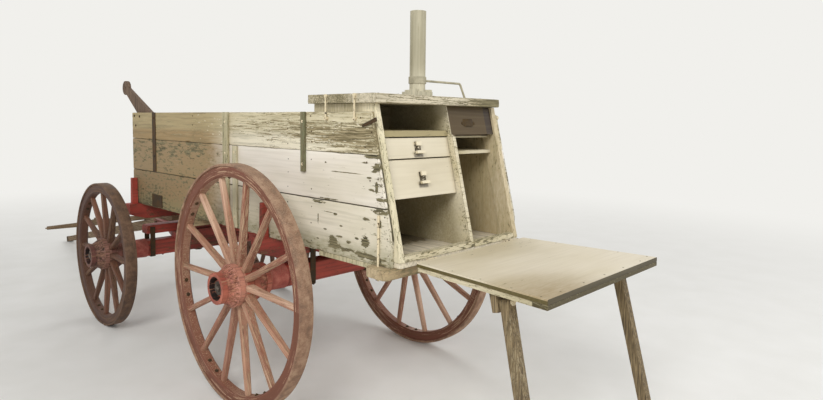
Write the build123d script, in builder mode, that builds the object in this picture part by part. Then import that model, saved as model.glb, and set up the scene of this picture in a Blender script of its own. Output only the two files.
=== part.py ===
"""Chuck wagon: an open wooden farm wagon with a camp kitchen box at its rear.

Millimetres. +X points to the tongue, +Y to the wagon's left, +Z up, and the ground is z = 0.
The origin is under the middle of the whole wagon's length and width.
"""

import os
from math import asin, atan, cos, hypot, radians, sin, tan

from build123d import *

os.makedirs("parts", exist_ok=True)

# Wheels, seen from the tyre's middle plane, + outwards along the axle
front_wheel_diameter = 1067.0
rear_wheel_step = 254.0
rear_spoke_count = 14
front_spoke_count = 12
spokes_per_felloe = 2
rear_track = 1390.0
front_track = 1480.0
wheel_base = 1850.0
tyre_width = 76.0
tyre_thickness = 13.0
felloe_depth = 60.0
felloe_width = 62.0
felloe_bevel = 9.0
felloe_gap = 0.6
hub_barrel_radius = 112.0
hub_nose_radius = 80.0
hub_inner_radius = 90.0
hub_inner_end = -175.0
hub_nose_end = 115.0
hub_band_width = 30.0
hub_band_thickness = 5.0
hub_band_clearance = 2.0
hub_recess_radius = 63.0
hub_recess_depth = 48.0
spoke_foot_offset = -28.0
spoke_foot_width = 34.0
spoke_foot_depth = 52.0
spoke_waist_width = 27.0
spoke_waist_depth = 44.0
spoke_tip_size = 30.0
spoke_bevel = 6.0
seat_gap = 0.1

# Iron skeins that cap the wooden axles and carry the hubs
arm_radius = 30.0
running_gap = 0.05
collar_radius = 82.0
collar_width = 12.0
collar_play = 3.0
funnel_radius = 74.0
funnel_mouth_radius = 70.0
funnel_length = 110.0
tenon_radius = 52.0
tenon_length = 60.0
nut_radius = 42.0
nut_width = 24.0
nut_play = 3.0

# Wooden running gear
axle_depth = 120.0
axle_width = 105.0
axle_bevel = 8.0
clip_width = 38.0
clip_thickness = 6.0
clip_spread = 215.0
reach_height = 55.0
reach_width = 80.0
reach_tail_length = 90.0
bolster_width = 100.0
bolster_length = 1130.0
bolster_end_height = 80.0
bolster_slope_length = 120.0
stake_height = 200.0
stake_width = 46.0
stake_thickness = 40.0
stake_top_width = 30.0
stake_side_gap = 5.0
rear_hound_spread = 300.0
rear_hound_length = 640.0
rear_hound_width = 58.0
wear_plate_thickness = 5.0
wear_plate_radius = 95.0
wear_gap = 0.4
sand_board_bevel_share = 0.18
front_hound_height = 55.0
front_hound_bend = 0.6
front_hound_tip_width = 41.0
front_hound_width = 58.0
front_hound_tail = 400.0
front_hound_tail_spread = 190.0
front_hound_axle_spread = 165.0
sway_bar_width = 70.0
sway_bar_gap = 14.0
sway_bar_length = 620.0
kingbolt_radius = 14.0
kingbolt_head_radius = 30.0
kingbolt_head_height = 14.0

# Tongue and evener
tongue_pivot_ahead = 600.0
tongue_length = 2950.0
tongue_tail_length = 210.0
tongue_size = 90.0
tongue_tip_size = 58.0
tongue_side_gap = 8.0
tongue_straight = 620.0
pivot_pin_radius = 12.0
tip_bore_radius = 13.0
tip_bore_back = 110.0
tip_band_back = 58.0
tip_band_width = 30.0
tip_band_thickness = 4.0
evener_ahead = 400.0
evener_length = 1060.0
evener_width = 92.0
evener_end_width = 56.0
evener_thickness = 44.0
washer_thickness = 5.0
washer_radius = 44.0
hammer_pin_radius = 12.0
hammer_pin_above = 34.0
singletree_span = 480.0
singletree_length = 700.0
singletree_radius = 23.0
singletree_end_radius = 15.0
singletree_ahead = 135.0
link_width = 40.0
link_thickness = 6.0
link_pin_radius = 8.0
link_pin_above = 14.0
trace_eye_radius = 14.0
trace_eye_wall = 9.0
trace_eye_thickness = 10.0
trace_eye_ahead = 30.0
ferrule_length = 34.0

# Wagon bed
bed_width = 975.0
bed_front_ahead = 70.0
board_thickness = 25.0
floor_underside = 895.0
side_top = 1600.0
lower_crack = 1160.0
upper_crack = 1400.0
crack_gap = 0.6
side_tail_x = -997.0
side_setback = 10.0
floor_board_count = 5
floor_groove = 3.0
sill_height = 45.0
sill_width = 140.0
sill_overhang = 50.0
rear_sill_x = -950.0
sill_end_radius = 22.0
edge_strip_size = (395.0, 26.0, 23.0)
edge_strip_knob_radius = 15.0
middle_sill_x = 900.0
cleat_thickness = 14.0
# Side cleats: middle's x from the rear axle, width, foot and top heights
cleat_rows = (
    (450.0, 62.0, 905.0, 1600.0),
    (342.0, 47.0, 905.0, 1398.0),
    (-350.0, 34.0, 1290.0, 1600.0),
)
dash_width = 112.0
dash_foot_width = 262.0
dash_thickness = 28.0
dash_foot_depth = 130.0
dash_run = 285.0
dash_rise = 198.0
dash_hole_radius = 13.0
rod_radius = 6.0
rod_x = -925.0
rod_top = 1130.0
rod_nut_radius = 11.0
rod_nut_height = 9.0
rub_iron_size = (170.0, 5.0, 90.0)
rub_iron_x = 1480.0
rub_iron_z = 950.0
side_strap_x = 1515.0
side_strap_size = (55.0, 4.0, 435.0)
hook_x = (-540.0, -757.0)
hook_radius = 4.5
hook_length = 128.0
hook_eye_radius = 9.0
peg_radius = 13.0
peg_length = 30.0
peg_z = 1582.0
peg_from_edge = 24.0

# Kitchen box at the rear
face_top_x = -855.0
face_lean = 0.25
chuck_front_x = -400.0
cheek_thickness = 22.0
cheek_gap = 0.5
liner_width = 95.0
liner_thickness = 12.0
panel_thickness = 18.0
top_underside = 1640.0
top_thickness = 45.0
top_overhang = 45.0
top_side_overhang = 5.0
top_right_inset = 40.0
divider_y = -68.0
divider_thickness = 26.0
divider_setback = 4.0
left_shelf_z = 1482.0
left_shelf_thickness = 30.0
right_recess = 58.0
right_panel_recess = 14.0
right_panel_bottom = 1490.0
right_shelf_z = (1472.0, 1385.0)
right_shelf_thickness = 18.0
drawer_recess = 36.0
drawer_gap = 6.0
drawer_heights = (98.0, 180.0)
drawer_front_thickness = 19.0
drawer_wall = 12.0
drawer_back_gap = 40.0
drawer_box_lip = 22.0
runner_size = 16.0
runner_inset = 16.0
runner_gap = 0.4
tail_rail_height = 28.0
tail_rail_depth = 34.0
# Drawer pulls: width, height and depth of the top block, the back plate and the lower lip
pull_rows = (
    (34.0, 22.0, 17.0),
    (42.0, 62.0, 3.0),
    (56.0, 15.0, 23.0),
)
pull_bevel = 3.0
post_diameter = 82.0
post_height = 435.0
post_x = -750.0
post_y = 65.0
collar_height = 24.0
collar_size = 112.0
chock_size = 36.0
bail_radius = 6.0
bail_height = 84.0
bail_reach = 350.0
bail_bend_drop = 46.0
bail_clamp_height = 34.0
bail_clamp_wall = 5.0
bail_foot_length = 150.0
bail_foot_width = 30.0
bail_foot_thickness = 6.0

# Lid that folds down as a table, and its two legs
lid_width = 990.0
lid_hinge_width = 860.0
lid_shift = -45.0
lid_length = 717.0
lid_thickness = 22.0
lid_surface = 920.0
lid_face_gap = 6.0
batten_width = 45.0
batten_thickness = 20.0
hinge_pin_radius = 4.0
hinge_eye_radius = 9.0
hinge_pin_drop = 9.0
hinge_knuckle = 30.0
hinge_end_knuckle = 14.0
hinge_knuckle_gap = 0.6
hinge_spacing = 620.0
strap_thickness = 3.0
strap_length = 180.0
leaf_height = 40.0
leg_size = 45.0
leg_lean = 13.5
leg_splay = 2.0
leg_pivot_drop = 34.0
leg_pivot_back = 487.0
leg_stagger = 72.0
leg_spread = 830.0
leg_bolt_radius = 8.0
leg_bolt_gap = 0.06
leg_block_thickness = 32.0
leg_block_width = 70.0
leg_block_gap = 2.0
leg_block_drop = 36.0
bolt_head_radius = 15.0
bolt_head_height = 8.0
bolt_head_gap = 1.0

# Heights that follow from the sizes above
rear_wheel_diameter = front_wheel_diameter + rear_wheel_step
rear_axle_z = rear_wheel_diameter / 2
front_axle_z = front_wheel_diameter / 2
floor_top = floor_underside + board_thickness
reach_bottom = rear_axle_z + axle_depth / 2
reach_top = reach_bottom + reach_height
front_axle_top = front_axle_z + axle_depth / 2
front_hound_top = front_axle_top + front_hound_height
sand_board_top = reach_bottom - wear_gap - wear_plate_thickness

# Tongue slope at which its tip rests on the ground
tongue_pivot_z = front_axle_top + front_hound_height / 2
tongue_slope = asin(tongue_pivot_z / hypot(tongue_length, tongue_tip_size / 2)) - atan(
    tongue_tip_size / 2 / tongue_length
)

# Lid hinge: the closed lid lies along the leaning rear face of the kitchen box
lean_angle = atan(face_lean)
hinge_z = lid_surface - hinge_pin_drop
hinge_from_face = (hinge_pin_drop + lid_face_gap) / cos(lean_angle)


def face_x(z):
    """Rear face of the kitchen box at height z, measured from the rear axle."""
    return face_top_x - face_lean * (top_underside - z)


hinge_x = face_x(hinge_z) - hinge_from_face
lid_edge_x = hinge_x - hinge_eye_radius - 2 * hinge_knuckle_gap
lid_end_x = lid_edge_x - lid_length
leg_pivot_z = lid_surface - lid_thickness - batten_thickness - leg_pivot_drop
leg_pivot_x = (lid_edge_x - leg_pivot_back, lid_edge_x - leg_pivot_back - leg_stagger)
lean = radians(leg_lean)

# The origin is under the middle, so every x from the rear axle is moved by rear_axle_x
tail_reach = leg_pivot_x[1] - leg_pivot_z * tan(lean) - leg_size / 2 / cos(lean)
tip_reach = (
    wheel_base
    + tongue_pivot_ahead
    + tongue_length * cos(tongue_slope)
    + tongue_tip_size / 2 * sin(tongue_slope)
)
rear_axle_x = -(tail_reach + tip_reach) / 2
front_axle_x = rear_axle_x + wheel_base
side_inner = bed_width / 2 - board_thickness
cheek_outer = side_inner - cheek_gap
cheek_inner = cheek_outer - cheek_thickness
liner_inner = cheek_inner - liner_thickness


def save(name, builder):
    """Label one finished piece and write it."""
    builder.part.label = name
    export_step(builder.part, f"parts/{name}.step")


def box_between(low, high, mode=Mode.ADD):
    """A box from its low corner to its high corner."""
    size = [b - a for a, b in zip(low, high)]
    with Locations([tuple((a + b) / 2 for a, b in zip(low, high))]):
        Box(*size, mode=mode)


def outline(plane, points, thickness, mode=Mode.ADD):
    """A flat piece cut to an outline of straight edges."""
    with BuildSketch(plane) as shape:
        with BuildLine():
            Polyline(*points, close=True)
        make_face()
    extrude(shape.sketch, amount=thickness, mode=mode)


def profile_plane(y):
    """Sketch plane whose x and y are the wagon's X, from the rear axle, and Z; it extrudes to -Y."""
    return Plane(origin=(rear_axle_x, y, 0), x_dir=(1, 0, 0), z_dir=(0, -1, 0))


def deck_plane(z, x=0.0):
    """Level sketch plane at height z, with its origin on the wagon's middle line."""
    return Plane(origin=(rear_axle_x + x, 0, z))


# Wheels
def tyre_and_rim(radius, felloe_count):
    """Iron tyre and its wooden felloes around the Z axis."""
    tyre_inside = radius - tyre_thickness
    felloe_outside = tyre_inside - seat_gap
    felloe_inside = felloe_outside - felloe_depth
    with BuildPart() as tyre:
        with BuildSketch(Plane.XY.offset(-tyre_width / 2)):
            Circle(radius)
            Circle(tyre_inside, mode=Mode.SUBTRACT)
        extrude(amount=tyre_width)
    with BuildPart() as rim:
        with BuildSketch(Plane.XZ):
            with BuildLine():
                half = felloe_width / 2
                Polyline(
                    (felloe_outside, -half),
                    (felloe_outside, half),
                    (felloe_inside + felloe_bevel, half),
                    (felloe_inside, half - felloe_bevel),
                    (felloe_inside, felloe_bevel - half),
                    (felloe_inside + felloe_bevel, -half),
                    close=True,
                )
            make_face()
        revolve(axis=Axis.Z)
        with BuildSketch(Plane.XY.offset(-felloe_width / 2)):
            joint_angle = 180 / felloe_count / spokes_per_felloe
            with PolarLocations((felloe_outside + felloe_inside) / 2, felloe_count, start_angle=joint_angle):
                Rectangle(2 * felloe_depth, felloe_gap)
        extrude(amount=felloe_width, mode=Mode.SUBTRACT)
    return tyre, rim, felloe_inside


def spoke_set(rim_inside, count):
    """Tapered spokes from the hub barrel out to the rim, dished outwards."""
    foot = hub_barrel_radius - spoke_bevel
    tip = rim_inside + spoke_bevel
    waist = foot + (tip - foot) / 4
    waist_offset = spoke_foot_offset * (tip - waist) / (tip - foot)
    sections = (
        (foot, spoke_foot_offset, spoke_foot_width, spoke_foot_depth),
        (waist, waist_offset, spoke_waist_width, spoke_waist_depth),
        (tip, 0.0, spoke_tip_size, spoke_tip_size),
    )
    with BuildPart() as spoke:
        for radial, offset, width, depth in sections:
            with BuildSketch(Plane(origin=(radial, 0, offset), x_dir=(0, 1, 0), z_dir=(1, 0, 0))) as section:
                Rectangle(width, depth)
                chamfer(section.vertices(), spoke_bevel)
        loft(ruled=True)
    with BuildPart() as spokes:
        with PolarLocations(0, count):
            add(spoke.part)
        with BuildSketch(Plane.XY.offset(-hub_barrel_radius)):
            Circle(rim_inside - seat_gap)
            Circle(hub_barrel_radius + seat_gap, mode=Mode.SUBTRACT)
        extrude(amount=2 * hub_barrel_radius, mode=Mode.INTERSECT)
    return spokes


def turned(points):
    """A body turned about the Z axis from its (radius, z) points."""
    with BuildPart() as body:
        with BuildSketch(Plane.XZ):
            with BuildLine():
                Polyline(*points, close=True)
            make_face()
        revolve(axis=Axis.Z)
    return body


def band(radius, low, high):
    """An iron band shrunk on the hub."""
    with BuildPart() as ring:
        with BuildSketch(Plane.XY.offset(low)):
            Circle(radius + hub_band_thickness)
            Circle(radius + seat_gap, mode=Mode.SUBTRACT)
        extrude(amount=high - low)
    return ring


def hub_set():
    """Turned wooden hub with its bore, nose recess and four iron bands."""
    bore = arm_radius + running_gap
    barrel_half = spoke_foot_depth / 2 + hub_band_clearance + hub_band_width
    barrel_low = spoke_foot_offset - barrel_half
    barrel_high = spoke_foot_offset + barrel_half
    recess_floor = hub_nose_end - hub_recess_depth
    wood = turned(
        (
            (bore, hub_inner_end),
            (hub_inner_radius, hub_inner_end),
            (hub_inner_radius, hub_inner_end + hub_band_width),
            (hub_barrel_radius, barrel_low),
            (hub_barrel_radius, barrel_high),
            (hub_nose_radius, hub_nose_end - hub_band_width),
            (hub_nose_radius, hub_nose_end),
            (hub_recess_radius, hub_nose_end),
            (hub_recess_radius, recess_floor),
            (bore, recess_floor),
        )
    )
    bands = (
        band(hub_inner_radius, hub_inner_end, hub_inner_end + hub_band_width),
        band(hub_barrel_radius, barrel_low, barrel_low + hub_band_width),
        band(hub_barrel_radius, barrel_high - hub_band_width, barrel_high),
        band(hub_nose_radius, hub_nose_end - hub_band_width, hub_nose_end),
    )
    return (wood, *bands)


def place(plane, pieces):
    """The given pieces set down on a plane, as one node."""
    with BuildPart(plane) as node:
        for piece in pieces:
            add(piece.part)
    return node


hub_pieces = hub_set()
wheel_rows = (
    ("rear", rear_axle_x, rear_wheel_diameter / 2, rear_spoke_count, rear_track),
    ("front", front_axle_x, front_wheel_diameter / 2, front_spoke_count, front_track),
)
for end, axle_x, wheel_radius, spoke_count, track in wheel_rows:
    tyre_piece, rim_piece, rim_inside = tyre_and_rim(wheel_radius, spoke_count // spokes_per_felloe)
    spoke_piece = spoke_set(rim_inside, spoke_count)
    for hand, side in (("left", 1), ("right", -1)):
        wheel_plane = Plane(
            origin=(axle_x, side * track / 2, wheel_radius), x_dir=(1, 0, 0), z_dir=(0, side, 0)
        )
        save(f"{end}_{hand}_tyre", place(wheel_plane, [tyre_piece]))
        save(f"{end}_{hand}_rim", place(wheel_plane, [rim_piece, spoke_piece]))
        save(f"{end}_{hand}_hub", place(wheel_plane, hub_pieces))

# Axles with their iron skeins
def skein(collar_face):
    """Iron skein along Z: funnel over the axle end, collar, arm and nut."""
    funnel_start = collar_face - collar_width
    skein_start = funnel_start - funnel_length
    nut_start = collar_face + collar_play - hub_inner_end + hub_nose_end - hub_recess_depth + nut_play
    arm_end = nut_start + nut_width
    iron = turned(
        (
            (0, skein_start + tenon_length),
            (tenon_radius + seat_gap, skein_start + tenon_length),
            (tenon_radius + seat_gap, skein_start),
            (funnel_radius, skein_start),
            (funnel_mouth_radius, funnel_start),
            (collar_radius, funnel_start),
            (collar_radius, collar_face),
            (arm_radius, collar_face),
            (arm_radius, nut_start),
            (nut_radius, nut_start),
            (nut_radius, arm_end),
            (0, arm_end),
        )
    )
    return iron, skein_start


for end, axle_x, axle_z, spoke_count, track in wheel_rows:
    skein_piece, skein_start = skein(track / 2 + hub_inner_end - collar_play)
    with BuildPart() as axle:
        with Locations((axle_x, 0, axle_z)):
            Box(axle_width, 2 * skein_start, axle_depth)
        chamfer(axle.edges().filter_by(Axis.Y), axle_bevel)
        with BuildSketch(Plane(origin=(axle_x, 0, axle_z), x_dir=(1, 0, 0), z_dir=(0, 1, 0))):
            Circle(tenon_radius)
        extrude(amount=skein_start + tenon_length - seat_gap, both=True)
        if end == "front":
            with Locations((axle_x, 0, axle_z)):
                Cylinder(kingbolt_radius + running_gap, axle_depth, mode=Mode.SUBTRACT)
    save(f"{end}_axle", axle)
    with BuildPart() as skeins:
        for side in (1, -1):
            with Locations(Plane(origin=(axle_x, 0, axle_z), x_dir=(1, 0, 0), z_dir=(0, side, 0))):
                add(skein_piece.part)
    save(f"{end}_skeins", skeins)

# Bolsters with their stakes, which carry the bed on the axles
stake_inner = bed_width / 2 + stake_side_gap
for end, axle_x in (("rear", rear_axle_x), ("front", front_axle_x)):
    with BuildPart() as bolster:
        half = bolster_length / 2
        shoulder = half - bolster_slope_length
        low_end = floor_underside - bolster_end_height
        with BuildSketch(Plane(origin=(axle_x, 0, 0), x_dir=(0, 1, 0), z_dir=(1, 0, 0))):
            with BuildLine():
                Polyline(
                    (-half, low_end),
                    (-shoulder, reach_top),
                    (shoulder, reach_top),
                    (half, low_end),
                    (half, floor_underside),
                    (-half, floor_underside),
                    close=True,
                )
            make_face()
        extrude(amount=bolster_width / 2, both=True)
        if end == "front":
            with Locations((axle_x, 0, (reach_top + floor_underside) / 2)):
                Cylinder(kingbolt_radius + seat_gap, floor_underside - reach_top, mode=Mode.SUBTRACT)
        for side in (1, -1):
            with BuildSketch(Plane.XY.offset(floor_underside)):
                with Locations((axle_x, side * (stake_inner + stake_thickness / 2))):
                    Rectangle(stake_width, stake_thickness)
            with BuildSketch(Plane.XY.offset(floor_underside + stake_height)):
                with Locations((axle_x, side * (stake_inner + stake_thickness / 2))):
                    Rectangle(stake_top_width, stake_thickness)
            loft(ruled=True)
    save(f"{end}_bolster", bolster)

# Reach with the rear hounds, between axle and bolster
with BuildPart() as reach:
    outline(
        deck_plane(reach_bottom),
        (
            (-reach_tail_length, -reach_width / 2),
            (wheel_base + reach_tail_length, -reach_width / 2),
            (wheel_base + reach_tail_length, reach_width / 2),
            (-reach_tail_length, reach_width / 2),
        ),
        reach_height,
    )
    with Locations((front_axle_x, 0, reach_bottom + reach_height / 2)):
        Cylinder(kingbolt_radius + seat_gap, reach_height, mode=Mode.SUBTRACT)
save("reach", reach)
with BuildPart() as rear_hounds:
    for side in (1, -1):
        near = side * (reach_width / 2 + seat_gap)
        outline(
            deck_plane(reach_bottom),
            (
                (-reach_tail_length, side * rear_hound_spread),
                (-reach_tail_length, side * (rear_hound_spread + rear_hound_width)),
                (axle_width, side * (rear_hound_spread + rear_hound_width)),
                (rear_hound_length + rear_hound_width * 2, near),
                (rear_hound_length, near),
                (axle_width, side * rear_hound_spread),
            ),
            reach_height,
        )
save("rear_hounds", rear_hounds)
with BuildPart() as kingbolt:
    nut_top = front_axle_z - axle_depth / 2 - wear_gap
    with BuildSketch(Plane.XY.offset(nut_top - kingbolt_head_height)):
        with Locations((front_axle_x, 0)):
            RegularPolygon(kingbolt_head_radius, 6)
    extrude(amount=kingbolt_head_height)
    with BuildSketch(Plane.XY.offset(nut_top)):
        with Locations((front_axle_x, 0)):
            Circle(kingbolt_radius)
    extrude(amount=floor_underside - nut_top)
save("kingbolt", kingbolt)

# Front gear that steers on the kingbolt
with BuildPart() as sand_board:
    with Locations((front_axle_x, 0, (front_hound_top + sand_board_top) / 2)):
        Box(axle_width, 2 * skein_start, sand_board_top - front_hound_top)
        Cylinder(kingbolt_radius + running_gap, sand_board_top - front_hound_top, mode=Mode.SUBTRACT)
    sand_board_bevel = sand_board_bevel_share * (sand_board_top - front_hound_top)
    chamfer(sand_board.edges().filter_by(Axis.X).group_by(Axis.Z)[-1], sand_board_bevel)
    with BuildSketch(Plane.XY.offset(sand_board_top)):
        with Locations((front_axle_x, 0)):
            Circle(wear_plate_radius)
            Circle(kingbolt_radius + running_gap, mode=Mode.SUBTRACT)
    extrude(amount=wear_plate_thickness)
save("sand_board", sand_board)
jaw = tongue_size / 2 + tongue_side_gap
pin_length = 2 * (jaw + front_hound_width)
pin_place = Location((front_axle_x + tongue_pivot_ahead, 0, tongue_pivot_z), (90, 0, 0))
with BuildPart() as front_hounds:
    for side in (1, -1):
        outline(
            deck_plane(front_axle_top, wheel_base),
            (
                (-front_hound_tail, side * front_hound_tail_spread),
                (0, side * front_hound_axle_spread),
                (tongue_pivot_ahead * front_hound_bend, side * jaw),
                (tongue_pivot_ahead + front_hound_width, side * jaw),
                (tongue_pivot_ahead + front_hound_width, side * (jaw + front_hound_tip_width)),
                (tongue_pivot_ahead * front_hound_bend, side * (jaw + front_hound_width)),
                (0, side * (front_hound_axle_spread + front_hound_width)),
                (-front_hound_tail, side * (front_hound_tail_spread + front_hound_width)),
            ),
            front_hound_height,
        )
    with Locations(pin_place):
        Cylinder(pivot_pin_radius + seat_gap, pin_length, mode=Mode.SUBTRACT)
    sway_bar_tail = front_axle_x - front_hound_tail
    box_between(
        (sway_bar_tail, -sway_bar_length / 2, front_hound_top),
        (sway_bar_tail + sway_bar_width, sway_bar_length / 2, reach_bottom - sway_bar_gap),
    )
save("front_hounds", front_hounds)


def clip(x, y, bottom, top):
    """U-shaped iron clip around an axle and the timber on it."""
    inner = axle_width / 2 + seat_gap
    outer = inner + clip_thickness
    with BuildSketch(Plane(origin=(x, y - clip_width / 2, 0), x_dir=(-1, 0, 0), z_dir=(0, 1, 0))) as shape:
        with BuildLine():
            Polyline(
                (-outer, top),
                (-outer, bottom - clip_thickness),
                (outer, bottom - clip_thickness),
                (outer, top),
                (inner, top),
                (inner, bottom - seat_gap),
                (-inner, bottom - seat_gap),
                (-inner, top),
                close=True,
            )
        make_face()
    extrude(shape.sketch, amount=clip_width)


with BuildPart() as front_irons:
    with Locations(pin_place):
        Cylinder(pivot_pin_radius, pin_length)
    for side in (1, -1):
        clip(
            front_axle_x,
            side * (front_hound_axle_spread + front_hound_width + clip_spread - clip_width),
            front_axle_z - axle_depth / 2,
            sand_board_top - sand_board_bevel,
        )
save("front_irons", front_irons)
with BuildPart() as rear_clips:
    for side in (1, -1):
        clip(rear_axle_x, side * clip_spread, rear_axle_z - axle_depth / 2, reach_top + clip_width)
save("rear_clips", rear_clips)

# Tongue, lying with its tip on the ground; its plane's x runs down the tongue
tongue_x_dir = (cos(tongue_slope), 0, -sin(tongue_slope))
tongue_z_dir = (sin(tongue_slope), 0, cos(tongue_slope))
tongue_pivot = (front_axle_x + tongue_pivot_ahead, 0, tongue_pivot_z)


def tongue_plane(along=0.0, above=0.0):
    """Plane parallel to the tongue's top, so far along it and above its middle line."""
    origin = tuple(
        p + along * dx + above * dz for p, dx, dz in zip(tongue_pivot, tongue_x_dir, tongue_z_dir)
    )
    return Plane(origin=origin, x_dir=tongue_x_dir, z_dir=tongue_z_dir)


with BuildPart() as tongue:
    cross_sections = (
        (-tongue_tail_length, tongue_size),
        (tongue_straight, tongue_size),
        (tongue_length, tongue_tip_size),
    )
    for along, size in cross_sections:
        section_plane = Plane(origin=tongue_plane(along).origin, x_dir=(0, 1, 0), z_dir=tongue_x_dir)
        with BuildSketch(section_plane) as section:
            Rectangle(size, size)
    loft(ruled=True)
    with Locations(Location(tongue_pivot, (90, 0, 0))):
        Cylinder(pivot_pin_radius + running_gap, tongue_size, mode=Mode.SUBTRACT)
    with BuildSketch(tongue_plane(tongue_length - tip_bore_back)):
        Circle(tip_bore_radius)
    extrude(amount=tongue_size, both=True, mode=Mode.SUBTRACT)
    with BuildSketch(tongue_plane(evener_ahead)):
        Circle(hammer_pin_radius)
    extrude(amount=tongue_size, both=True, mode=Mode.SUBTRACT)
save("tongue", tongue)
evener_bottom = tongue_size / 2 + washer_thickness + wear_gap
with BuildPart() as tongue_irons:
    with BuildSketch(tongue_plane(evener_ahead, -tongue_size / 2)):
        Circle(hammer_pin_radius)
    extrude(amount=tongue_size + washer_thickness + evener_thickness + hammer_pin_above)
    with BuildSketch(tongue_plane(evener_ahead, tongue_size / 2)):
        Circle(washer_radius)
    extrude(amount=washer_thickness)
    band_start = tongue_length - tip_band_back
    taper = (tongue_tip_size - tongue_size) / (tongue_length - tongue_straight)
    band_inside = tongue_tip_size + taper * (band_start - tongue_length) + seat_gap
    band_outside = band_inside + 2 * tip_band_thickness
    band_plane = Plane(origin=tongue_plane(band_start).origin, x_dir=(0, 1, 0), z_dir=tongue_x_dir)
    with BuildSketch(band_plane):
        Rectangle(band_outside, band_outside)
        Rectangle(band_inside, band_inside, mode=Mode.SUBTRACT)
    extrude(amount=tip_band_width)
save("tongue_irons", tongue_irons)
with BuildPart() as evener:
    half = evener_length / 2
    with BuildSketch(tongue_plane(evener_ahead, evener_bottom)):
        with BuildLine():
            Polyline(
                (evener_end_width / 2, -half),
                (evener_width / 2, 0),
                (evener_end_width / 2, half),
                (-evener_end_width / 2, half),
                (-evener_width / 2, 0),
                (-evener_end_width / 2, -half),
                close=True,
            )
        make_face()
        Circle(hammer_pin_radius + running_gap, mode=Mode.SUBTRACT)
    extrude(amount=evener_thickness)
    for side in (1, -1):
        with BuildSketch(tongue_plane(evener_ahead, evener_bottom + evener_thickness)):
            with Locations((0, side * singletree_span)):
                Circle(link_pin_radius)
        extrude(amount=link_thickness + link_pin_above)
save("evener", evener)
for hand, side in (("left", 1), ("right", -1)):
    with BuildPart() as singletree:
        link_base = evener_bottom + evener_thickness + wear_gap
        bar_middle = link_base - singletree_radius
        with BuildSketch(tongue_plane(evener_ahead, link_base)):
            with Locations((singletree_ahead / 2, side * singletree_span)):
                Rectangle(singletree_ahead + link_width, link_width)
            with Locations((0, side * singletree_span)):
                Circle(link_pin_radius + running_gap, mode=Mode.SUBTRACT)
        extrude(amount=link_thickness)
        bar_plane = tongue_plane(evener_ahead + singletree_ahead, bar_middle)
        ends = (
            (side * singletree_span - singletree_length / 2, singletree_end_radius),
            (side * singletree_span, singletree_radius),
            (side * singletree_span + singletree_length / 2, singletree_end_radius),
        )
        for y, size in ends:
            origin = (bar_plane.origin.X, y, bar_plane.origin.Z)
            with BuildSketch(Plane(origin=origin, x_dir=tongue_x_dir, z_dir=(0, 1, 0))):
                RegularPolygon(size, 8)
        loft(ruled=True)
        eye_x = bar_plane.origin.X
        for end_side in (1, -1):
            eye_y = side * singletree_span + end_side * (singletree_length / 2 - ferrule_length / 2)
            eye_origin = (eye_x, eye_y, bar_plane.origin.Z)
            with BuildSketch(Plane(origin=eye_origin, x_dir=tongue_x_dir, z_dir=tongue_z_dir)):
                with Locations((trace_eye_ahead, 0)):
                    Circle(trace_eye_radius + trace_eye_wall)
                with Locations((trace_eye_ahead / 2, 0)):
                    Rectangle(trace_eye_ahead, trace_eye_wall * 2)
                with Locations((trace_eye_ahead, 0)):
                    Circle(trace_eye_radius, mode=Mode.SUBTRACT)
            extrude(amount=trace_eye_thickness / 2, both=True)
            with Locations(Plane(origin=eye_origin, x_dir=tongue_x_dir, z_dir=(0, 1, 0))):
                Cylinder(singletree_end_radius, ferrule_length)
    save(f"singletree_{hand}", singletree)

# Bed: floor, sills, sides and front end
front_end_x = wheel_base + bed_front_ahead
floor_tail = face_x(floor_top) + side_setback / 2
with BuildPart() as bed_floor:
    outline(
        deck_plane(floor_underside),
        (
            (floor_tail, -side_inner + seat_gap),
            (front_end_x, -side_inner + seat_gap),
            (front_end_x, side_inner - seat_gap),
            (floor_tail, side_inner - seat_gap),
        ),
        board_thickness,
    )
    board_width = 2 * side_inner / floor_board_count
    with BuildSketch(deck_plane(floor_top - floor_groove)):
        with Locations(((front_end_x + floor_tail) / 2, 0)):
            with GridLocations(0, board_width, 1, floor_board_count - 1):
                Rectangle(front_end_x - floor_tail, floor_groove)
    extrude(amount=floor_groove, mode=Mode.SUBTRACT)
save("bed_floor", bed_floor)
with BuildPart() as cross_sills:
    sill_half = bed_width / 2 + sill_overhang
    for sill_x in (rear_sill_x, middle_sill_x):
        box_between(
            (rear_axle_x + sill_x - sill_width / 2, -sill_half, floor_underside - sill_height),
            (rear_axle_x + sill_x + sill_width / 2, sill_half, floor_underside),
        )
    fillet(cross_sills.edges().filter_by(Axis.Z), sill_end_radius)
    for side in (1, -1):
        rod_y = side * (bed_width / 2 + rod_radius + seat_gap)
        with Locations((rear_axle_x + rod_x, rod_y, floor_underside - sill_height / 2)):
            Cylinder(rod_radius + seat_gap, sill_height, mode=Mode.SUBTRACT)
save("cross_sills", cross_sills)


def side_board(low, high):
    """One side board: it follows the leaning face above and stops square below."""
    tail_top = max(face_x(high) + side_setback, side_tail_x)
    tail_low = max(face_x(low) + side_setback, side_tail_x)
    corners = [(front_end_x, low), (front_end_x, high), (tail_top, high)]
    if tail_low > side_tail_x:
        corners.append((tail_low, low))
        return corners
    bend = top_underside - (face_top_x + side_setback - side_tail_x) / face_lean
    if low < bend < high:
        corners.append((side_tail_x, bend))
    corners.append((side_tail_x, low))
    return corners


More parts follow.
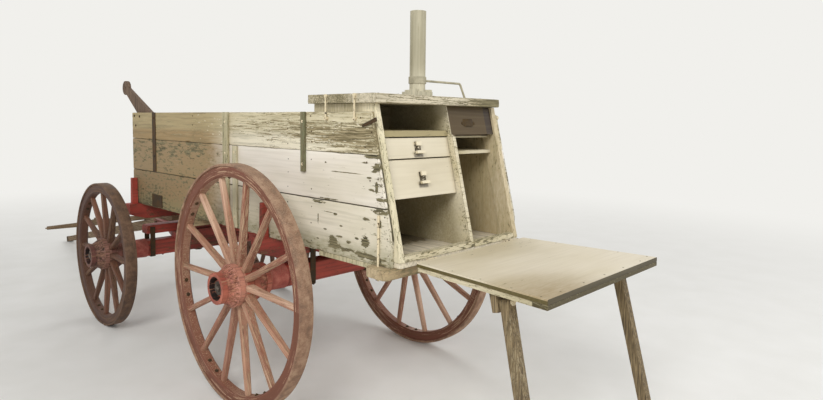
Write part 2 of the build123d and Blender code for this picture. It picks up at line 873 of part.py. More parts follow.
board_rows = (
    (floor_underside, lower_crack),
    (lower_crack + crack_gap, upper_crack),
    (upper_crack + crack_gap, side_top),
)
for hand, outer in (("left", bed_width / 2), ("right", -side_inner)):
    with BuildPart() as bed_side:
        for low, high in board_rows:
            outline(profile_plane(outer), side_board(low, high), board_thickness)
    save(f"side_{hand}", bed_side)
with BuildPart() as front_end:
    box_between(
        (rear_axle_x + front_end_x - board_thickness, -side_inner + seat_gap, floor_top),
        (rear_axle_x + front_end_x, side_inner - seat_gap, side_top),
    )
save("front_end", front_end)
with BuildPart() as dash_bracket:
    dash_foot_x = front_end_x - board_thickness - seat_gap
    with BuildSketch(profile_plane(side_inner - seat_gap)):
        with BuildLine():
            Polyline(
                (dash_foot_x, side_top - dash_foot_depth),
                (dash_foot_x - dash_foot_width, side_top - dash_foot_depth),
                (dash_foot_x - dash_foot_width, side_top),
                (dash_foot_x - dash_width + dash_run, side_top + dash_rise),
                (dash_foot_x + dash_run, side_top + dash_rise),
                (dash_foot_x, side_top),
                close=True,
            )
        make_face()
        with Locations((dash_foot_x + dash_run - dash_width / 2, side_top + dash_rise)):
            Circle(dash_width / 2)
            Circle(dash_hole_radius, mode=Mode.SUBTRACT)
    extrude(amount=dash_thickness)
save("dash_bracket", dash_bracket)
with BuildPart() as side_cleats:
    for x, width, low, high in cleat_rows:
        for side in (1, -1):
            inner, outer = sorted((side * bed_width / 2, side * (bed_width / 2 + cleat_thickness)))
            box_between(
                (rear_axle_x + x - width / 2, inner, low),
                (rear_axle_x + x + width / 2, outer, high),
            )
    length, thickness, height = edge_strip_size
    strip_tail = rear_axle_x + rear_sill_x + sill_width / 2 + seat_gap
    for side in (1, -1):
        strip_y = side * (side_inner + thickness / 2 + seat_gap)
        strip_z = floor_underside - height / 2
        with Locations((strip_tail + length / 2, strip_y, strip_z)):
            Box(length, thickness, height)
        with Locations((strip_tail + length, strip_y, strip_z)):
            Cylinder(edge_strip_knob_radius, height)
save("side_cleats", side_cleats)

# Kitchen box: cheeks, back, divider, shelves and top
for hand, side in (("left", 1), ("right", -1)):
    with BuildPart() as cheek:
        cheek_points = (
            (chuck_front_x, floor_top),
            (chuck_front_x, top_underside),
            (face_x(top_underside), top_underside),
            (face_x(floor_top), floor_top),
        )
        start = cheek_outer if side > 0 else -cheek_inner
        outline(profile_plane(start), cheek_points, cheek_thickness)
        liner_points = (
            (face_x(floor_top) + liner_width, floor_top),
            (face_x(top_underside) + liner_width, top_underside),
            (face_x(top_underside), top_underside),
            (face_x(floor_top), floor_top),
        )
        start = cheek_inner if side > 0 else -liner_inner
        outline(profile_plane(start), liner_points, liner_thickness)
    save(f"cheek_{hand}", cheek)
with BuildPart() as chuck_back:
    box_between(
        (rear_axle_x + chuck_front_x - panel_thickness, -cheek_inner + seat_gap, floor_top),
        (rear_axle_x + chuck_front_x, cheek_inner - seat_gap, top_underside),
    )
save("chuck_back", chuck_back)
back_face = chuck_front_x - panel_thickness - seat_gap
divider_left = divider_y + divider_thickness / 2
divider_right = divider_y - divider_thickness / 2
drawer_right = divider_left + drawer_gap
drawer_left = liner_inner - seat_gap - drawer_gap
drawer_tops = (left_shelf_z - drawer_gap, left_shelf_z - drawer_gap * 2 - drawer_heights[0])
with BuildPart() as shelves:
    panel_back = right_panel_recess + panel_thickness + seat_gap
    outline(
        profile_plane(divider_left),
        (
            (back_face, floor_top),
            (back_face, top_underside),
            (face_x(top_underside) + panel_back, top_underside),
            (face_x(right_panel_bottom) + panel_back, right_panel_bottom),
            (face_x(right_panel_bottom) + divider_setback, right_panel_bottom),
            (face_x(floor_top) + divider_setback, floor_top),
        ),
        divider_thickness,
    )
    left_end = liner_inner - seat_gap
    right_end = seat_gap - liner_inner
    shelf_rows = (
        (left_shelf_z, left_shelf_thickness, drawer_recess, divider_left, 1),
        (right_shelf_z[0], right_shelf_thickness, right_recess, divider_right, -1),
        (right_shelf_z[1], right_shelf_thickness, right_recess, divider_right, -1),
    )
    for shelf_z, thickness, recess, inner, side in shelf_rows:
        front = face_x(shelf_z) + recess
        behind_liner = face_x(shelf_z + thickness) + liner_width + seat_gap
        outline(
            deck_plane(shelf_z),
            (
                (front, inner),
                (back_face, inner),
                (back_face, side * (cheek_inner - seat_gap)),
                (behind_liner, side * (cheek_inner - seat_gap)),
                (behind_liner, side * left_end),
                (front, side * left_end),
            ),
            thickness,
        )
    outline(
        profile_plane(divider_left),
        (
            (face_x(right_panel_bottom) + right_panel_recess, right_panel_bottom),
            (face_x(top_underside) + right_panel_recess, top_underside),
            (face_x(top_underside) + panel_back - seat_gap, top_underside),
            (face_x(right_panel_bottom) + panel_back - seat_gap, right_panel_bottom),
        ),
        divider_left - right_end,
    )
    rail_top = floor_top + tail_rail_height
    for start, end in ((left_end, divider_left), (divider_right, right_end)):
        outline(
            profile_plane(start),
            (
                (face_x(floor_top), floor_top),
                (face_x(rail_top), rail_top),
                (face_x(rail_top) + tail_rail_depth, rail_top),
                (face_x(floor_top) + tail_rail_depth, floor_top),
            ),
            start - end,
        )
    for top, height in zip(drawer_tops, drawer_heights):
        runner_top = top - height + drawer_box_lip / 2 - runner_gap
        runner_front = face_x(top) + liner_width + seat_gap
        for near, far in (
            (divider_left, drawer_right + runner_inset + drawer_wall),
            (cheek_inner - seat_gap, drawer_left - runner_inset - drawer_wall),
        ):
            box_between(
                (rear_axle_x + runner_front, min(near, far), runner_top - runner_size),
                (rear_axle_x + back_face, max(near, far), runner_top),
            )
save("shelves", shelves)
with BuildPart() as top_board:
    top_left = bed_width / 2 + top_side_overhang
    top_right = top_right_inset - bed_width / 2
    outline(
        deck_plane(top_underside),
        (
            (face_top_x - top_overhang, top_right),
            (chuck_front_x + board_thickness / 2, top_right),
            (chuck_front_x + board_thickness / 2, top_left),
            (face_top_x - top_overhang, top_left),
        ),
        top_thickness,
    )
save("top_board", top_board)
top_surface = top_underside + top_thickness
with BuildPart() as post:
    with BuildSketch(deck_plane(top_surface)):
        with Locations((post_x, post_y)):
            Circle(post_diameter / 2)
    extrude(amount=post_height)
    with BuildSketch(deck_plane(top_surface)):
        with Locations((post_x, post_y)):
            Rectangle(collar_size, collar_size)
    extrude(amount=collar_height)
    with BuildSketch(deck_plane(top_surface)):
        with Locations((post_x, post_y)):
            with PolarLocations(collar_size / 2, 3):
                Rectangle(chock_size, chock_size)
    extrude(amount=chock_size)
save("post", post)
with BuildPart() as top_bail:
    post_side = post_y - post_diameter / 2
    rod_end = post_side - bail_reach
    with BuildLine() as bail_line:
        FilletPolyline(
            (rear_axle_x + post_x, post_side - bail_clamp_wall / 2, top_surface + bail_height),
            (rear_axle_x + post_x, rod_end + bail_bend_drop, top_surface + bail_height),
            (rear_axle_x + post_x, rod_end, top_surface + bail_foot_thickness / 2),
            radius=3 * bail_radius,
        )
    with BuildSketch(Plane(origin=bail_line.line @ 0, z_dir=bail_line.line % 0)):
        Circle(bail_radius)
    sweep()
    split(bisect_by=Plane.XY.offset(top_surface), keep=Keep.TOP)
    with BuildSketch(deck_plane(top_surface)):
        with Locations((post_x, rod_end + bail_bend_drop - bail_foot_length / 2)):
            Rectangle(bail_foot_width, bail_foot_length)
    extrude(amount=bail_foot_thickness)
    with BuildSketch(deck_plane(top_surface + bail_height - bail_clamp_height / 2)):
        with Locations((post_x, post_y)):
            Circle(post_diameter / 2 + bail_clamp_wall)
            Circle(post_diameter / 2 + seat_gap, mode=Mode.SUBTRACT)
    extrude(amount=bail_clamp_height)
save("top_bail", top_bail)

# Drawers with slanted fronts in the left column, and their cup pulls
box_left = drawer_left - runner_inset
box_right = drawer_right + runner_inset
box_back = back_face - drawer_back_gap
front_back = drawer_recess + drawer_front_thickness
for level, top, height in zip(("upper", "lower"), drawer_tops, drawer_heights):
    low = top - height
    box_low = low + drawer_box_lip / 2
    box_high = top - drawer_box_lip
    inside_low = box_low + drawer_wall
    with BuildPart() as drawer:
        outline(
            profile_plane(box_left),
            (
                (face_x(box_low) + drawer_recess, box_low),
                (face_x(box_high) + drawer_recess, box_high),
                (box_back, box_high),
                (box_back, box_low),
            ),
            box_left - box_right,
        )
        outline(
            profile_plane(box_left - drawer_wall),
            (
                (face_x(inside_low) + front_back, inside_low),
                (face_x(top) + front_back, top),
                (box_back - drawer_wall, top),
                (box_back - drawer_wall, inside_low),
            ),
            box_left - box_right - 2 * drawer_wall,
            mode=Mode.SUBTRACT,
        )
        outline(
            profile_plane(drawer_left),
            (
                (face_x(low) + drawer_recess, low),
                (face_x(top) + drawer_recess, top),
                (face_x(top) + front_back, top),
                (face_x(low) + front_back, low),
            ),
            drawer_left - drawer_right,
        )
    save(f"drawer_{level}", drawer)
    pull_z = (low + top) / 2
    pull_middle = (
        rear_axle_x + face_x(pull_z) + drawer_recess,
        (drawer_left + drawer_right) / 2,
        pull_z,
    )
    pull_plane = Plane(origin=pull_middle, x_dir=(0, -1, 0), z_dir=(-cos(lean_angle), 0, sin(lean_angle)))
    plate_height = pull_rows[1][1]
    with BuildPart() as pull:
        for (width, height, depth), step in zip(pull_rows, (1, 0, -1)):
            with BuildSketch(pull_plane) as pull_face:
                with Locations((0, step * (plate_height - height) / 2)):
                    Rectangle(width, height)
                chamfer(pull_face.vertices(), pull_bevel)
            extrude(amount=depth)
    save(f"pull_{level}", pull)

# Lid, battens, legs
lid_bottom = lid_surface - lid_thickness
batten_bottom = lid_bottom - batten_thickness
lid_flare = (lid_width - lid_hinge_width) / 2 / lid_length


def lid_side(x, side, inset=0.0):
    """Point on the lid's left or right edge, or so far inside it, at x from the rear axle."""
    return (x, lid_shift + side * (lid_hinge_width / 2 + lid_flare * (lid_edge_x - x) - inset))


with BuildPart() as lid:
    outline(
        deck_plane(lid_bottom),
        (
            lid_side(lid_edge_x, 1),
            lid_side(lid_edge_x, -1),
            lid_side(lid_end_x, -1),
            lid_side(lid_end_x, 1),
        ),
        lid_thickness,
    )
save("lid", lid)
leg_rows = (
    ("left", 1, leg_pivot_x[0], lid_shift + leg_spread / 2),
    ("right", -1, leg_pivot_x[1], lid_shift - leg_spread / 2),
)
bolt_axis = (cos(lean), 0, -sin(lean))


def leg_plane(pivot_x, pivot_y, along=0.0):
    """Plane square to a leg's bolt, so far along the bolt from the leg's middle."""
    origin = (
        rear_axle_x + pivot_x + along * bolt_axis[0],
        pivot_y,
        leg_pivot_z + along * bolt_axis[2],
    )
    return Plane(origin=origin, x_dir=(0, 1, 0), z_dir=bolt_axis)


with BuildPart() as lid_battens:
    batten_start = lid_edge_x - strap_length / 2
    for side in (1, -1):
        outline(
            deck_plane(batten_bottom),
            (
                lid_side(batten_start, side),
                lid_side(lid_end_x, side),
                lid_side(lid_end_x, side, batten_width),
                lid_side(batten_start, side, batten_width),
            ),
            batten_thickness,
        )
    cross_start = lid_end_x + batten_width
    outline(
        deck_plane(batten_bottom),
        (
            lid_side(lid_end_x, 1, batten_width),
            lid_side(lid_end_x, -1, batten_width),
            lid_side(cross_start, -1, batten_width),
            lid_side(cross_start, 1, batten_width),
        ),
        batten_thickness,
    )
save("lid_battens", lid_battens)
block_rise = lid_bottom - leg_pivot_z + leg_block_thickness
with BuildPart() as leg_blocks:
    for hand, side, pivot_x, pivot_y in leg_rows:
        block_start = side * (leg_size / 2 + leg_block_gap)
        with BuildSketch(leg_plane(pivot_x, pivot_y, block_start)):
            with Locations((0, (block_rise - leg_block_drop) / 2)):
                Rectangle(leg_block_width, block_rise + leg_block_drop)
            Circle(leg_bolt_radius + seat_gap, mode=Mode.SUBTRACT)
        extrude(amount=side * leg_block_thickness)
    add(lid_battens.part, mode=Mode.SUBTRACT)
    split(bisect_by=Plane.XY.offset(lid_bottom), keep=Keep.BOTTOM)
save("leg_blocks", leg_blocks)
hinge_places = (lid_shift + hinge_spacing / 2, lid_shift - hinge_spacing / 2)
with BuildPart() as lid_irons:
    for hand, side, pivot_x, pivot_y in leg_rows:
        bolt_start = -side * (leg_size / 2 + bolt_head_gap)
        bolt_length = leg_size + bolt_head_gap + leg_block_gap + leg_block_thickness + bolt_head_height
        with BuildSketch(leg_plane(pivot_x, pivot_y, bolt_start)):
            Circle(leg_bolt_radius)
        extrude(amount=side * bolt_length)
        with BuildSketch(leg_plane(pivot_x, pivot_y, bolt_start)):
            Circle(bolt_head_radius)
        extrude(amount=-side * bolt_head_height)
    for y in hinge_places:
        with BuildSketch(profile_plane(y + hinge_knuckle / 2)):
            with Locations((hinge_x, hinge_z)):
                Circle(hinge_eye_radius)
            with BuildLine():
                Polyline(
                    (hinge_x, hinge_z),
                    (hinge_x - hinge_eye_radius, hinge_z),
                    (hinge_x - hinge_eye_radius, lid_bottom),
                    (hinge_x - strap_length, lid_bottom),
                    (hinge_x - strap_length, lid_bottom - strap_thickness),
                    (hinge_x, lid_bottom - strap_thickness),
                    close=True,
                )
            make_face()
            with Locations((hinge_x, hinge_z)):
                Circle(hinge_pin_radius + running_gap, mode=Mode.SUBTRACT)
        extrude(amount=hinge_knuckle)
save("lid_irons", lid_irons)
with BuildPart() as bed_irons:
    sill_rear = rear_sill_x - sill_width / 2
    for y in hinge_places:
        first = y + hinge_knuckle / 2 + hinge_knuckle_gap + hinge_end_knuckle
        second = y - hinge_knuckle / 2 - hinge_knuckle_gap
        for start in (first, second):
            with BuildSketch(profile_plane(start)):
                with Locations((hinge_x, hinge_z)):
                    Circle(hinge_eye_radius)
                with BuildLine():
                    Polyline(
                        (hinge_x, hinge_z),
                        (floor_tail, floor_underside),
                        (sill_rear, floor_underside),
                        (sill_rear, floor_underside - leaf_height),
                        (sill_rear - strap_thickness, floor_underside - leaf_height),
                        (hinge_x, hinge_z - hinge_eye_radius),
                        close=True,
                    )
                make_face()
            extrude(amount=hinge_end_knuckle)
        with BuildSketch(profile_plane(first)):
            with Locations((hinge_x, hinge_z)):
                Circle(hinge_pin_radius)
        extrude(amount=hinge_knuckle + 2 * (hinge_knuckle_gap + hinge_end_knuckle))
    rod_bottom = floor_underside - sill_height - rod_nut_height
    for side in (1, -1):
        rod_y = side * (bed_width / 2 + rod_radius + seat_gap)
        with BuildSketch(Plane.XY.offset(rod_bottom)):
            with Locations((rear_axle_x + rod_x, rod_y)):
                Circle(rod_radius)
        extrude(amount=rod_top - rod_bottom)
        with BuildSketch(Plane.XY.offset(rod_bottom)):
            with Locations((rear_axle_x + rod_x, rod_y)):
                RegularPolygon(rod_nut_radius, 6)
        extrude(amount=rod_nut_height)
        # Rub iron by the front wheel and strap over the board joints
        for (length, thickness, height), x, z in (
            (rub_iron_size, rub_iron_x, rub_iron_z),
            (side_strap_size, side_strap_x, side_top - side_strap_size[2] / 2),
        ):
            with Locations((rear_axle_x + x, side * (bed_width / 2 + thickness / 2), z)):
                Box(length, thickness, height)
    # Hooks on the left that hold the top board down
    hook_rows = (
        (top_surface - hook_eye_radius, top_left),
        (top_surface - hook_length + hook_eye_radius, bed_width / 2),
    )
    for x in hook_x:
        with BuildSketch(Plane.XY.offset(top_surface - hook_length)):
            with Locations((rear_axle_x + x, top_left + hook_radius)):
                Circle(hook_radius)
        extrude(amount=hook_length)
        for z, inner in hook_rows:
            with BuildSketch(Plane(origin=(rear_axle_x + x, inner, z), x_dir=(1, 0, 0), z_dir=(0, 1, 0))):
                Circle(hook_eye_radius)
            extrude(amount=top_left + 2 * hook_radius - inner)
    with BuildSketch(profile_plane(-bed_width / 2)):
        with Locations((face_x(peg_z) + side_setback + peg_from_edge, peg_z)):
            Circle(peg_radius)
    extrude(amount=peg_length)
save("bed_irons", bed_irons)
for hand, side, pivot_x, pivot_y in leg_rows:
    with BuildPart() as leg:
        reach_down = 2 * leg_pivot_z
        with BuildSketch(leg_plane(pivot_x, pivot_y)):
            with Locations(Location((0, 0), side * leg_splay)):
                with Locations((0, -reach_down / 2)):
                    Rectangle(leg_size, reach_down)
            Circle(leg_size / 2)
            Circle(leg_bolt_radius + leg_bolt_gap, mode=Mode.SUBTRACT)
        extrude(amount=leg_size / 2, both=True)
        split(bisect_by=Plane.XY, keep=Keep.TOP)
    save(f"leg_{hand}", leg)
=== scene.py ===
"""Finishes, hardware, floor, lamps and camera for the chuck wagon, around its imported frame.
Metres, +X to the tongue, +Y to the wagon's left, +Z up, ground at z = 0.
"""
from functools import partial
from math import cos, pi, radians, sin
from random import Random

import bmesh
import bpy
from mathutils import Matrix, Vector, noise


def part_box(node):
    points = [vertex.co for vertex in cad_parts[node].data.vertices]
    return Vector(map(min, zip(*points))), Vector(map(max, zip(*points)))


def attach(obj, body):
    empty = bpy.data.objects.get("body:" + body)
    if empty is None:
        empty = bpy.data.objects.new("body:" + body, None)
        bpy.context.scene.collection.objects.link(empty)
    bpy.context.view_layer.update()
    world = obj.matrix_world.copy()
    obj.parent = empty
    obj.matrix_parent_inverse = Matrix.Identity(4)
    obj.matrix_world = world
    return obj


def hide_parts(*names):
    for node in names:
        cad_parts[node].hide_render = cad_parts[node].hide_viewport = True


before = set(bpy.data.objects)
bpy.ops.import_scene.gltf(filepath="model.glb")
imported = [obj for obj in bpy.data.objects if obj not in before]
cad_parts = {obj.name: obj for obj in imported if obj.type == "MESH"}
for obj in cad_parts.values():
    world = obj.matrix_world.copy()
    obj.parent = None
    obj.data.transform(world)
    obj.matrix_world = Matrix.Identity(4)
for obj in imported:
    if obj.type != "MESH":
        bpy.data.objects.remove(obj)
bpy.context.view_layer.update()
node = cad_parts
mm = 0.001
both_sides = (("left", 1), ("right", -1))


def middle(name):
    """Middle of a node's box."""
    low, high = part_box(name)
    return (Vector(low) + Vector(high)) / 2


# The axles' x and z
rear_x, _, rear_z = middle("rear_left_tyre")
front_x, _, front_z = middle("front_left_tyre")
# side_y and cleat_y are the outer faces of the bed's sides and of their cleats
(tail_x, _, side_foot), (side_front_x, side_y, side_head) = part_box("side_left")
cleat_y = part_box("side_cleats")[1][1]
# The kitchen box's rear face leans 1 in 4 from its top's rear edge
box_lean = 0.25
box_top_z = 1.64
face_depth = rear_x - 0.845 - box_lean * box_top_z


def face_x(z):
    """Rear face of the kitchen box at height z."""
    return face_depth + box_lean * z


# Finishes

def linear(code):
    """Linear colour of a six-digit sRGB hex value."""
    channels = [int(code[place:place + 2], 16) / 255 for place in (0, 2, 4)]
    return [c / 12.92 if c < 0.04045 else ((c + 0.055) / 1.055) ** 2.4 for c in channels] + [1.0]


def add(tree, kind, links=None, stops=None, **settings):
    """Adds a shader node with its settings, and its sockets' nodes, hex colours or plain values."""
    made = tree.nodes.new("ShaderNode" + kind)
    for name, value in settings.items():
        setattr(made, name, value)
    for socket, value in (links or {}).items():
        if isinstance(value, bpy.types.Node):
            value = value.outputs[0]
        if isinstance(value, bpy.types.NodeSocket):
            tree.links.new(value, made.inputs[socket])
        else:
            made.inputs[socket].default_value = linear(value) if isinstance(value, str) else value
    if stops:
        ramp = made.color_ramp.elements
        while len(ramp) < len(stops):
            ramp.new(0.5)
        for place, (position, code) in enumerate(stops):
            ramp[place].position = position
            ramp[place].color = linear(code)
    return made


def blank(name, **fixed):
    """A new finish, what adds nodes to it, and its shader with the given fixed values."""
    finish = bpy.data.materials.new(name)
    finish.use_nodes = True
    shader = finish.node_tree.nodes["Principled BSDF"]
    for socket, value in fixed.items():
        shader.inputs[socket.replace("_", " ")].default_value = value
    return finish, partial(add, finish.node_tree), shader


def connect(shader, **nodes):
    """Links nodes to the sockets of a shader or an output."""
    for socket, made in nodes.items():
        shader.id_data.links.new(made.outputs[0], shader.inputs[socket.replace("_", " ")])


def along_grain(new, lie):
    """Place on the piece in metres, first number along the grain.
    lie is an axis, or a wheel's middle x and z and its rim's inner radius."""
    place = new("SeparateXYZ", {0: new("TexCoord").outputs["Object"]}).outputs
    if lie in ("X", "Y", "Z"):
        order = {"X": (0, 1, 2), "Y": (1, 0, 2), "Z": (2, 0, 1)}[lie]
        return new("CombineXYZ", {turn: place[axis] for turn, axis in enumerate(order)})
    middle_x, middle_z, rim_inside = lie
    east = new("Math", {0: place[0], 1: middle_x}, operation="SUBTRACT")
    north = new("Math", {0: place[2], 1: middle_z}, operation="SUBTRACT")
    spread = new("CombineXYZ", {0: east, 2: north})
    radius = new("VectorMath", {0: spread}, operation="LENGTH").outputs["Value"]
    turn = new("Math", {0: north, 1: east}, operation="ARCTAN2")
    arc = new("Math", {0: turn, 1: rim_inside}, operation="MULTIPLY")
    ray = new("CombineXYZ", {0: radius, 1: arc, 2: place[1]})
    ring = new("CombineXYZ", {0: arc, 1: radius, 2: place[1]})
    at_rim = new("Math", {0: radius, 1: rim_inside}, operation="GREATER_THAN")
    return new("MixRGB", {"Fac": at_rim, "Color1": ray, "Color2": ring})


def grown(new, grain, length, width, detail=4.0, rough=0.6, shift=0.0):
    """Noise drawn out along the grain: marks of the given length and width in millimetres."""
    scale = (1 / (length * mm), 1 / (width * mm), 1 / (width * mm))
    spot = new("VectorMath", {0: grain, 1: scale, 2: (shift, shift, shift)}, operation="MULTIPLY_ADD")
    return new("TexNoise", {"Vector": spot, "Scale": 1.0, "Detail": detail, "Roughness": rough})


def painted_timber(
    name, lie, coats, wood, lost, soil, soiled, zones=(), tints=(), chips=(), worn=0.16, checks=0.5, relief=1.0,
    chalky=0.62, flake=(120, 30), fibre=(240, 4), wave=0, shift=0.0, axle=None,
):
    """Oil paint brushed on sawn timber and weathered for years.
    It gives a matt chalky coat that lets go in long ragged flakes along the grain and on the
    corners, over dry grey wood with open fibres. coats and wood are hex colours from light to
    dark, lost is the share of bare wood and soiled that of soil. zones add bare wood between
    two places on an axis, and tints lay a colour there. chips are bare spots: x from the rear
    axle, z, half length, half height and gain. flake and fibre are lengths and widths in
    millimetres, wave bends the grain by that many millimetres, and shift moves the pattern.
    Axis D is the depth behind the box's leaning face; R is the radius from axle's x and z."""
    coats, wood = coats.split(), wood.split()
    finish, new, shader = blank(name, IOR=1.5)
    grain = along_grain(new, lie)
    if wave:
        bend = new("TexNoise", {"Vector": grain, "Scale": 1 / 0.16, "Detail": 2.0})
        bend = new("VectorMath", {0: bend.outputs["Color"], 1: (0.5, 0.5, 0.5)}, operation="SUBTRACT")
        reach = (0, 2 * wave * mm, 2 * wave * mm)
        grain = new("VectorMath", {0: bend, 1: reach, 2: grain}, operation="MULTIPLY_ADD")
    grain = new("VectorMath", {0: grain, 1: (shift, shift, shift)}, operation="ADD")
    # Real fibres are 0.1 mm wide: bundles of them some 4 mm wide still show in the render
    fibres = grown(new, grain, *fibre, 5.0, 0.62)
    flakes = grown(new, grain, *flake, 8.0, 0.66)
    broad = grown(new, grain, 700, 260, 3.0, 0.5, 3.0)
    spread = new("Math", {0: fibres, 1: 0.45, 2: flakes}, operation="MULTIPLY_ADD")
    level = new("Math", {0: broad, 1: 0.5, 2: spread}, operation="MULTIPLY_ADD")
    spot = new("TexCoord").outputs["Object"]
    place = dict(zip("XYZ", new("SeparateXYZ", {0: spot}).outputs))
    place["D"] = new("VectorMath", {0: spot, 1: (1, 0, -box_lean)}, operation="DOT_PRODUCT").outputs["Value"]
    if axle:
        ray = new("VectorMath", {0: spot, 1: (axle[0], 0, axle[1])}, operation="SUBTRACT")
        ray = new("VectorMath", {0: ray, 1: (1, 0, 1)}, operation="MULTIPLY")
        place["R"] = new("VectorMath", {0: ray}, operation="LENGTH").outputs["Value"]

    def within(limits):
        """Share from 0 to 1 that grows between two places on an axis, or on each of several axes."""
        share = None
        for axis, start, end in limits if isinstance(limits[0], tuple) else (limits,):
            zero = face_depth if axis == "D" else 0.0
            reach = new(
                "MapRange", {"Value": place[axis], "From Min": zero + start, "From Max": zero + end},
                interpolation_type="SMOOTHSTEP",
            )
            share = reach if share is None else new("Math", {0: share, 1: reach}, operation="MULTIPLY")
        return share

    for limits, gain in zones:
        level = new("Math", {0: within(limits), 1: gain, 2: level}, operation="MULTIPLY_ADD")
    for x, z, long, high, gain in chips:
        aside = new("VectorMath", {0: spot, 1: (rear_x + x, 0, z)}, operation="SUBTRACT")
        aside = new("VectorMath", {0: aside, 1: (1 / long, 0, 1 / high)}, operation="MULTIPLY")
        away = new("VectorMath", {0: aside}, operation="LENGTH").outputs["Value"]
        near = new("MapRange", {"Value": away, "From Min": 1.5, "From Max": 0.3, "To Max": gain})
        level = new("Math", {0: near, 1: level}, operation="ADD")
    # Corners rub bare for the first 5 mm
    round_normal = new("Bevel", {"Radius": 5 * mm}, samples=4)
    flatness = new(
        "VectorMath", {0: round_normal, 1: new("NewGeometry").outputs["True Normal"]}, operation="DOT_PRODUCT",
    ).outputs["Value"]
    corner = new("MapRange", {"Value": flatness, "From Min": 0.99, "From Max": 0.8, "To Max": worn})
    level = new("Math", {0: level, 1: corner}, operation="ADD")
    # Checks: hair cracks across and along the coat, in cells 34 mm long and 9 mm wide
    cell = new("VectorMath", {0: grain, 1: (1 / 0.034, 1 / 0.009, 1 / 0.009)}, operation="MULTIPLY")
    cracks = new("TexVoronoi", {"Vector": cell, "Scale": 1.0}, feature="DISTANCE_TO_EDGE")
    cracked = new(
        "MapRange", {"Value": cracks, "From Min": 0.02, "From Max": 0.09, "To Min": checks * 0.2, "To Max": 0.0},
    )
    level = new("Math", {0: level, 1: cracked}, operation="ADD")
    threshold = 0.975 + (0.5 - lost) * 0.5
    bare = new(
        "MapRange", {"Value": level, "From Min": threshold - 0.012, "From Max": threshold + 0.012},
        interpolation_type="SMOOTHSTEP",
    )
    coat = new(
        "ValToRGB", {"Fac": broad},
        stops=[(0.36 + 0.28 * turn / (len(coats) - 1), code) for turn, code in enumerate(coats)],
    )
    for limits, colour, most in tints:
        least = max(0.2, most - 0.35)
        cloud = new("MapRange", {"Value": flakes, "From Min": 0.3, "From Max": 0.6, "To Min": least, "To Max": most})
        share = new("Math", {0: within(limits), 1: cloud}, operation="MULTIPLY")
        coat = new("MixRGB", {"Fac": share, "Color1": coat, "Color2": colour})
    streaks = grown(new, grain, 400, 14, 3.0, 0.5, 7.0)
    streaked = new("MapRange", {"Value": streaks, "From Min": 0.45, "From Max": 0.75, "To Max": soiled})
    coat = new("MixRGB", {"Fac": streaked, "Color1": coat, "Color2": soil})
    # Soil gathers in a rim of 1 to 3 mm round every flake
    rim = new("MapRange", {"Value": level, "From Min": threshold - 0.06, "From Max": threshold, "To Max": soiled * 1.2})
    coat = new("MixRGB", {"Fac": rim, "Color1": coat, "Color2": soil})
    timber = new(
        "ValToRGB", {"Fac": fibres},
        stops=[(0.34 + 0.3 * turn / (len(wood) - 1), code) for turn, code in enumerate(reversed(wood))],
    )
    colour = new("MixRGB", {"Fac": bare, "Color1": coat, "Color2": timber})
    rough = new("MapRange", {"Value": bare, "To Min": chalky, "To Max": 0.9})
    # The coat stands 0.5 mm above the wood, and fibres stand out where it is gone
    open_grain = new("MapRange", {"Value": bare, "To Min": 0.12})
    ridges = new("Math", {0: fibres, 1: open_grain}, operation="MULTIPLY")
    height = new("Math", {0: bare, 1: -0.45, 2: ridges}, operation="MULTIPLY_ADD")
    bump = new("Bump", {"Height": height, "Distance": 1.6 * mm * relief, "Strength": 0.9})
    connect(shader, Base_Color=colour, Roughness=rough, Normal=bump)
    return finish


def forged_iron(name, tones, dust, dusty, metallic=0.35, rough=0.62, coat=None):
    """Iron forged black and left in the weather.
    It gives brown rust in blotches, pits 5 mm apart and a dry bloom of dust on what looks up.
    tones are hex colours from dark to light, dust is the bloom's colour and dusty its share.
    coat is a hex colour over it, with a direction and the places along it where the coat is
    still missing and where it is full."""
    tones = tones.split()
    finish, new, shader = blank(name, Metallic=metallic)
    place = new("TexCoord").outputs
    spot = place["Object"]
    blotch = new("TexNoise", {"Vector": spot, "Scale": 1 / 0.05, "Detail": 6.0, "Roughness": 0.65})
    pitted = new("TexNoise", {"Vector": spot, "Scale": 1 / (5 * mm), "Detail": 3.0})
    tone = new(
        "ValToRGB", {"Fac": blotch},
        stops=[(0.35 + 0.3 * turn / (len(tones) - 1), code) for turn, code in enumerate(tones)],
    )
    up = new("SeparateXYZ", {0: place["Normal"]}).outputs[2]
    lying = new("MapRange", {"Value": up, "From Min": -0.2, "From Max": 0.9, "To Min": 0.25})
    bloom = new("MapRange", {"Value": pitted, "From Min": 0.35, "From Max": 0.7, "To Max": dusty})
    dusted = new("Math", {0: lying, 1: bloom}, operation="MULTIPLY")
    colour = new("MixRGB", {"Fac": dusted, "Color1": tone, "Color2": dust})
    if coat:
        code, way, missing, full = coat
        along = new("VectorMath", {0: spot, 1: way}, operation="DOT_PRODUCT").outputs["Value"]
        coated = new("MapRange", {"Value": along, "From Min": missing, "From Max": full})
        chips = new("TexNoise", {"Vector": spot, "Scale": 1 / 0.012, "Detail": 5.0})
        held = new("MapRange", {"Value": chips, "From Min": 0.62, "From Max": 0.58})
        share = new("Math", {0: coated, 1: held}, operation="MULTIPLY")
        colour = new("MixRGB", {"Fac": share, "Color1": colour, "Color2": code})
    gloss = new("MapRange", {"Value": blotch, "From Min": 0.3, "From Max": 0.7, "To Min": rough, "To Max": 0.9})
    bump = new("Bump", {"Height": pitted, "Distance": 0.8 * mm, "Strength": 0.8})
    connect(shader, Base_Color=colour, Roughness=gloss, Normal=bump)
    return finish


grey_wood = "8E8564 726A4E 575039 383426"
# Heights of the cracks between the side boards, and the boards' front part, which has gone brown
upper_crack = 1.4
lower_crack = 1.16
front_zone = ("X", tail_x + 1.2, tail_x + 1.8)
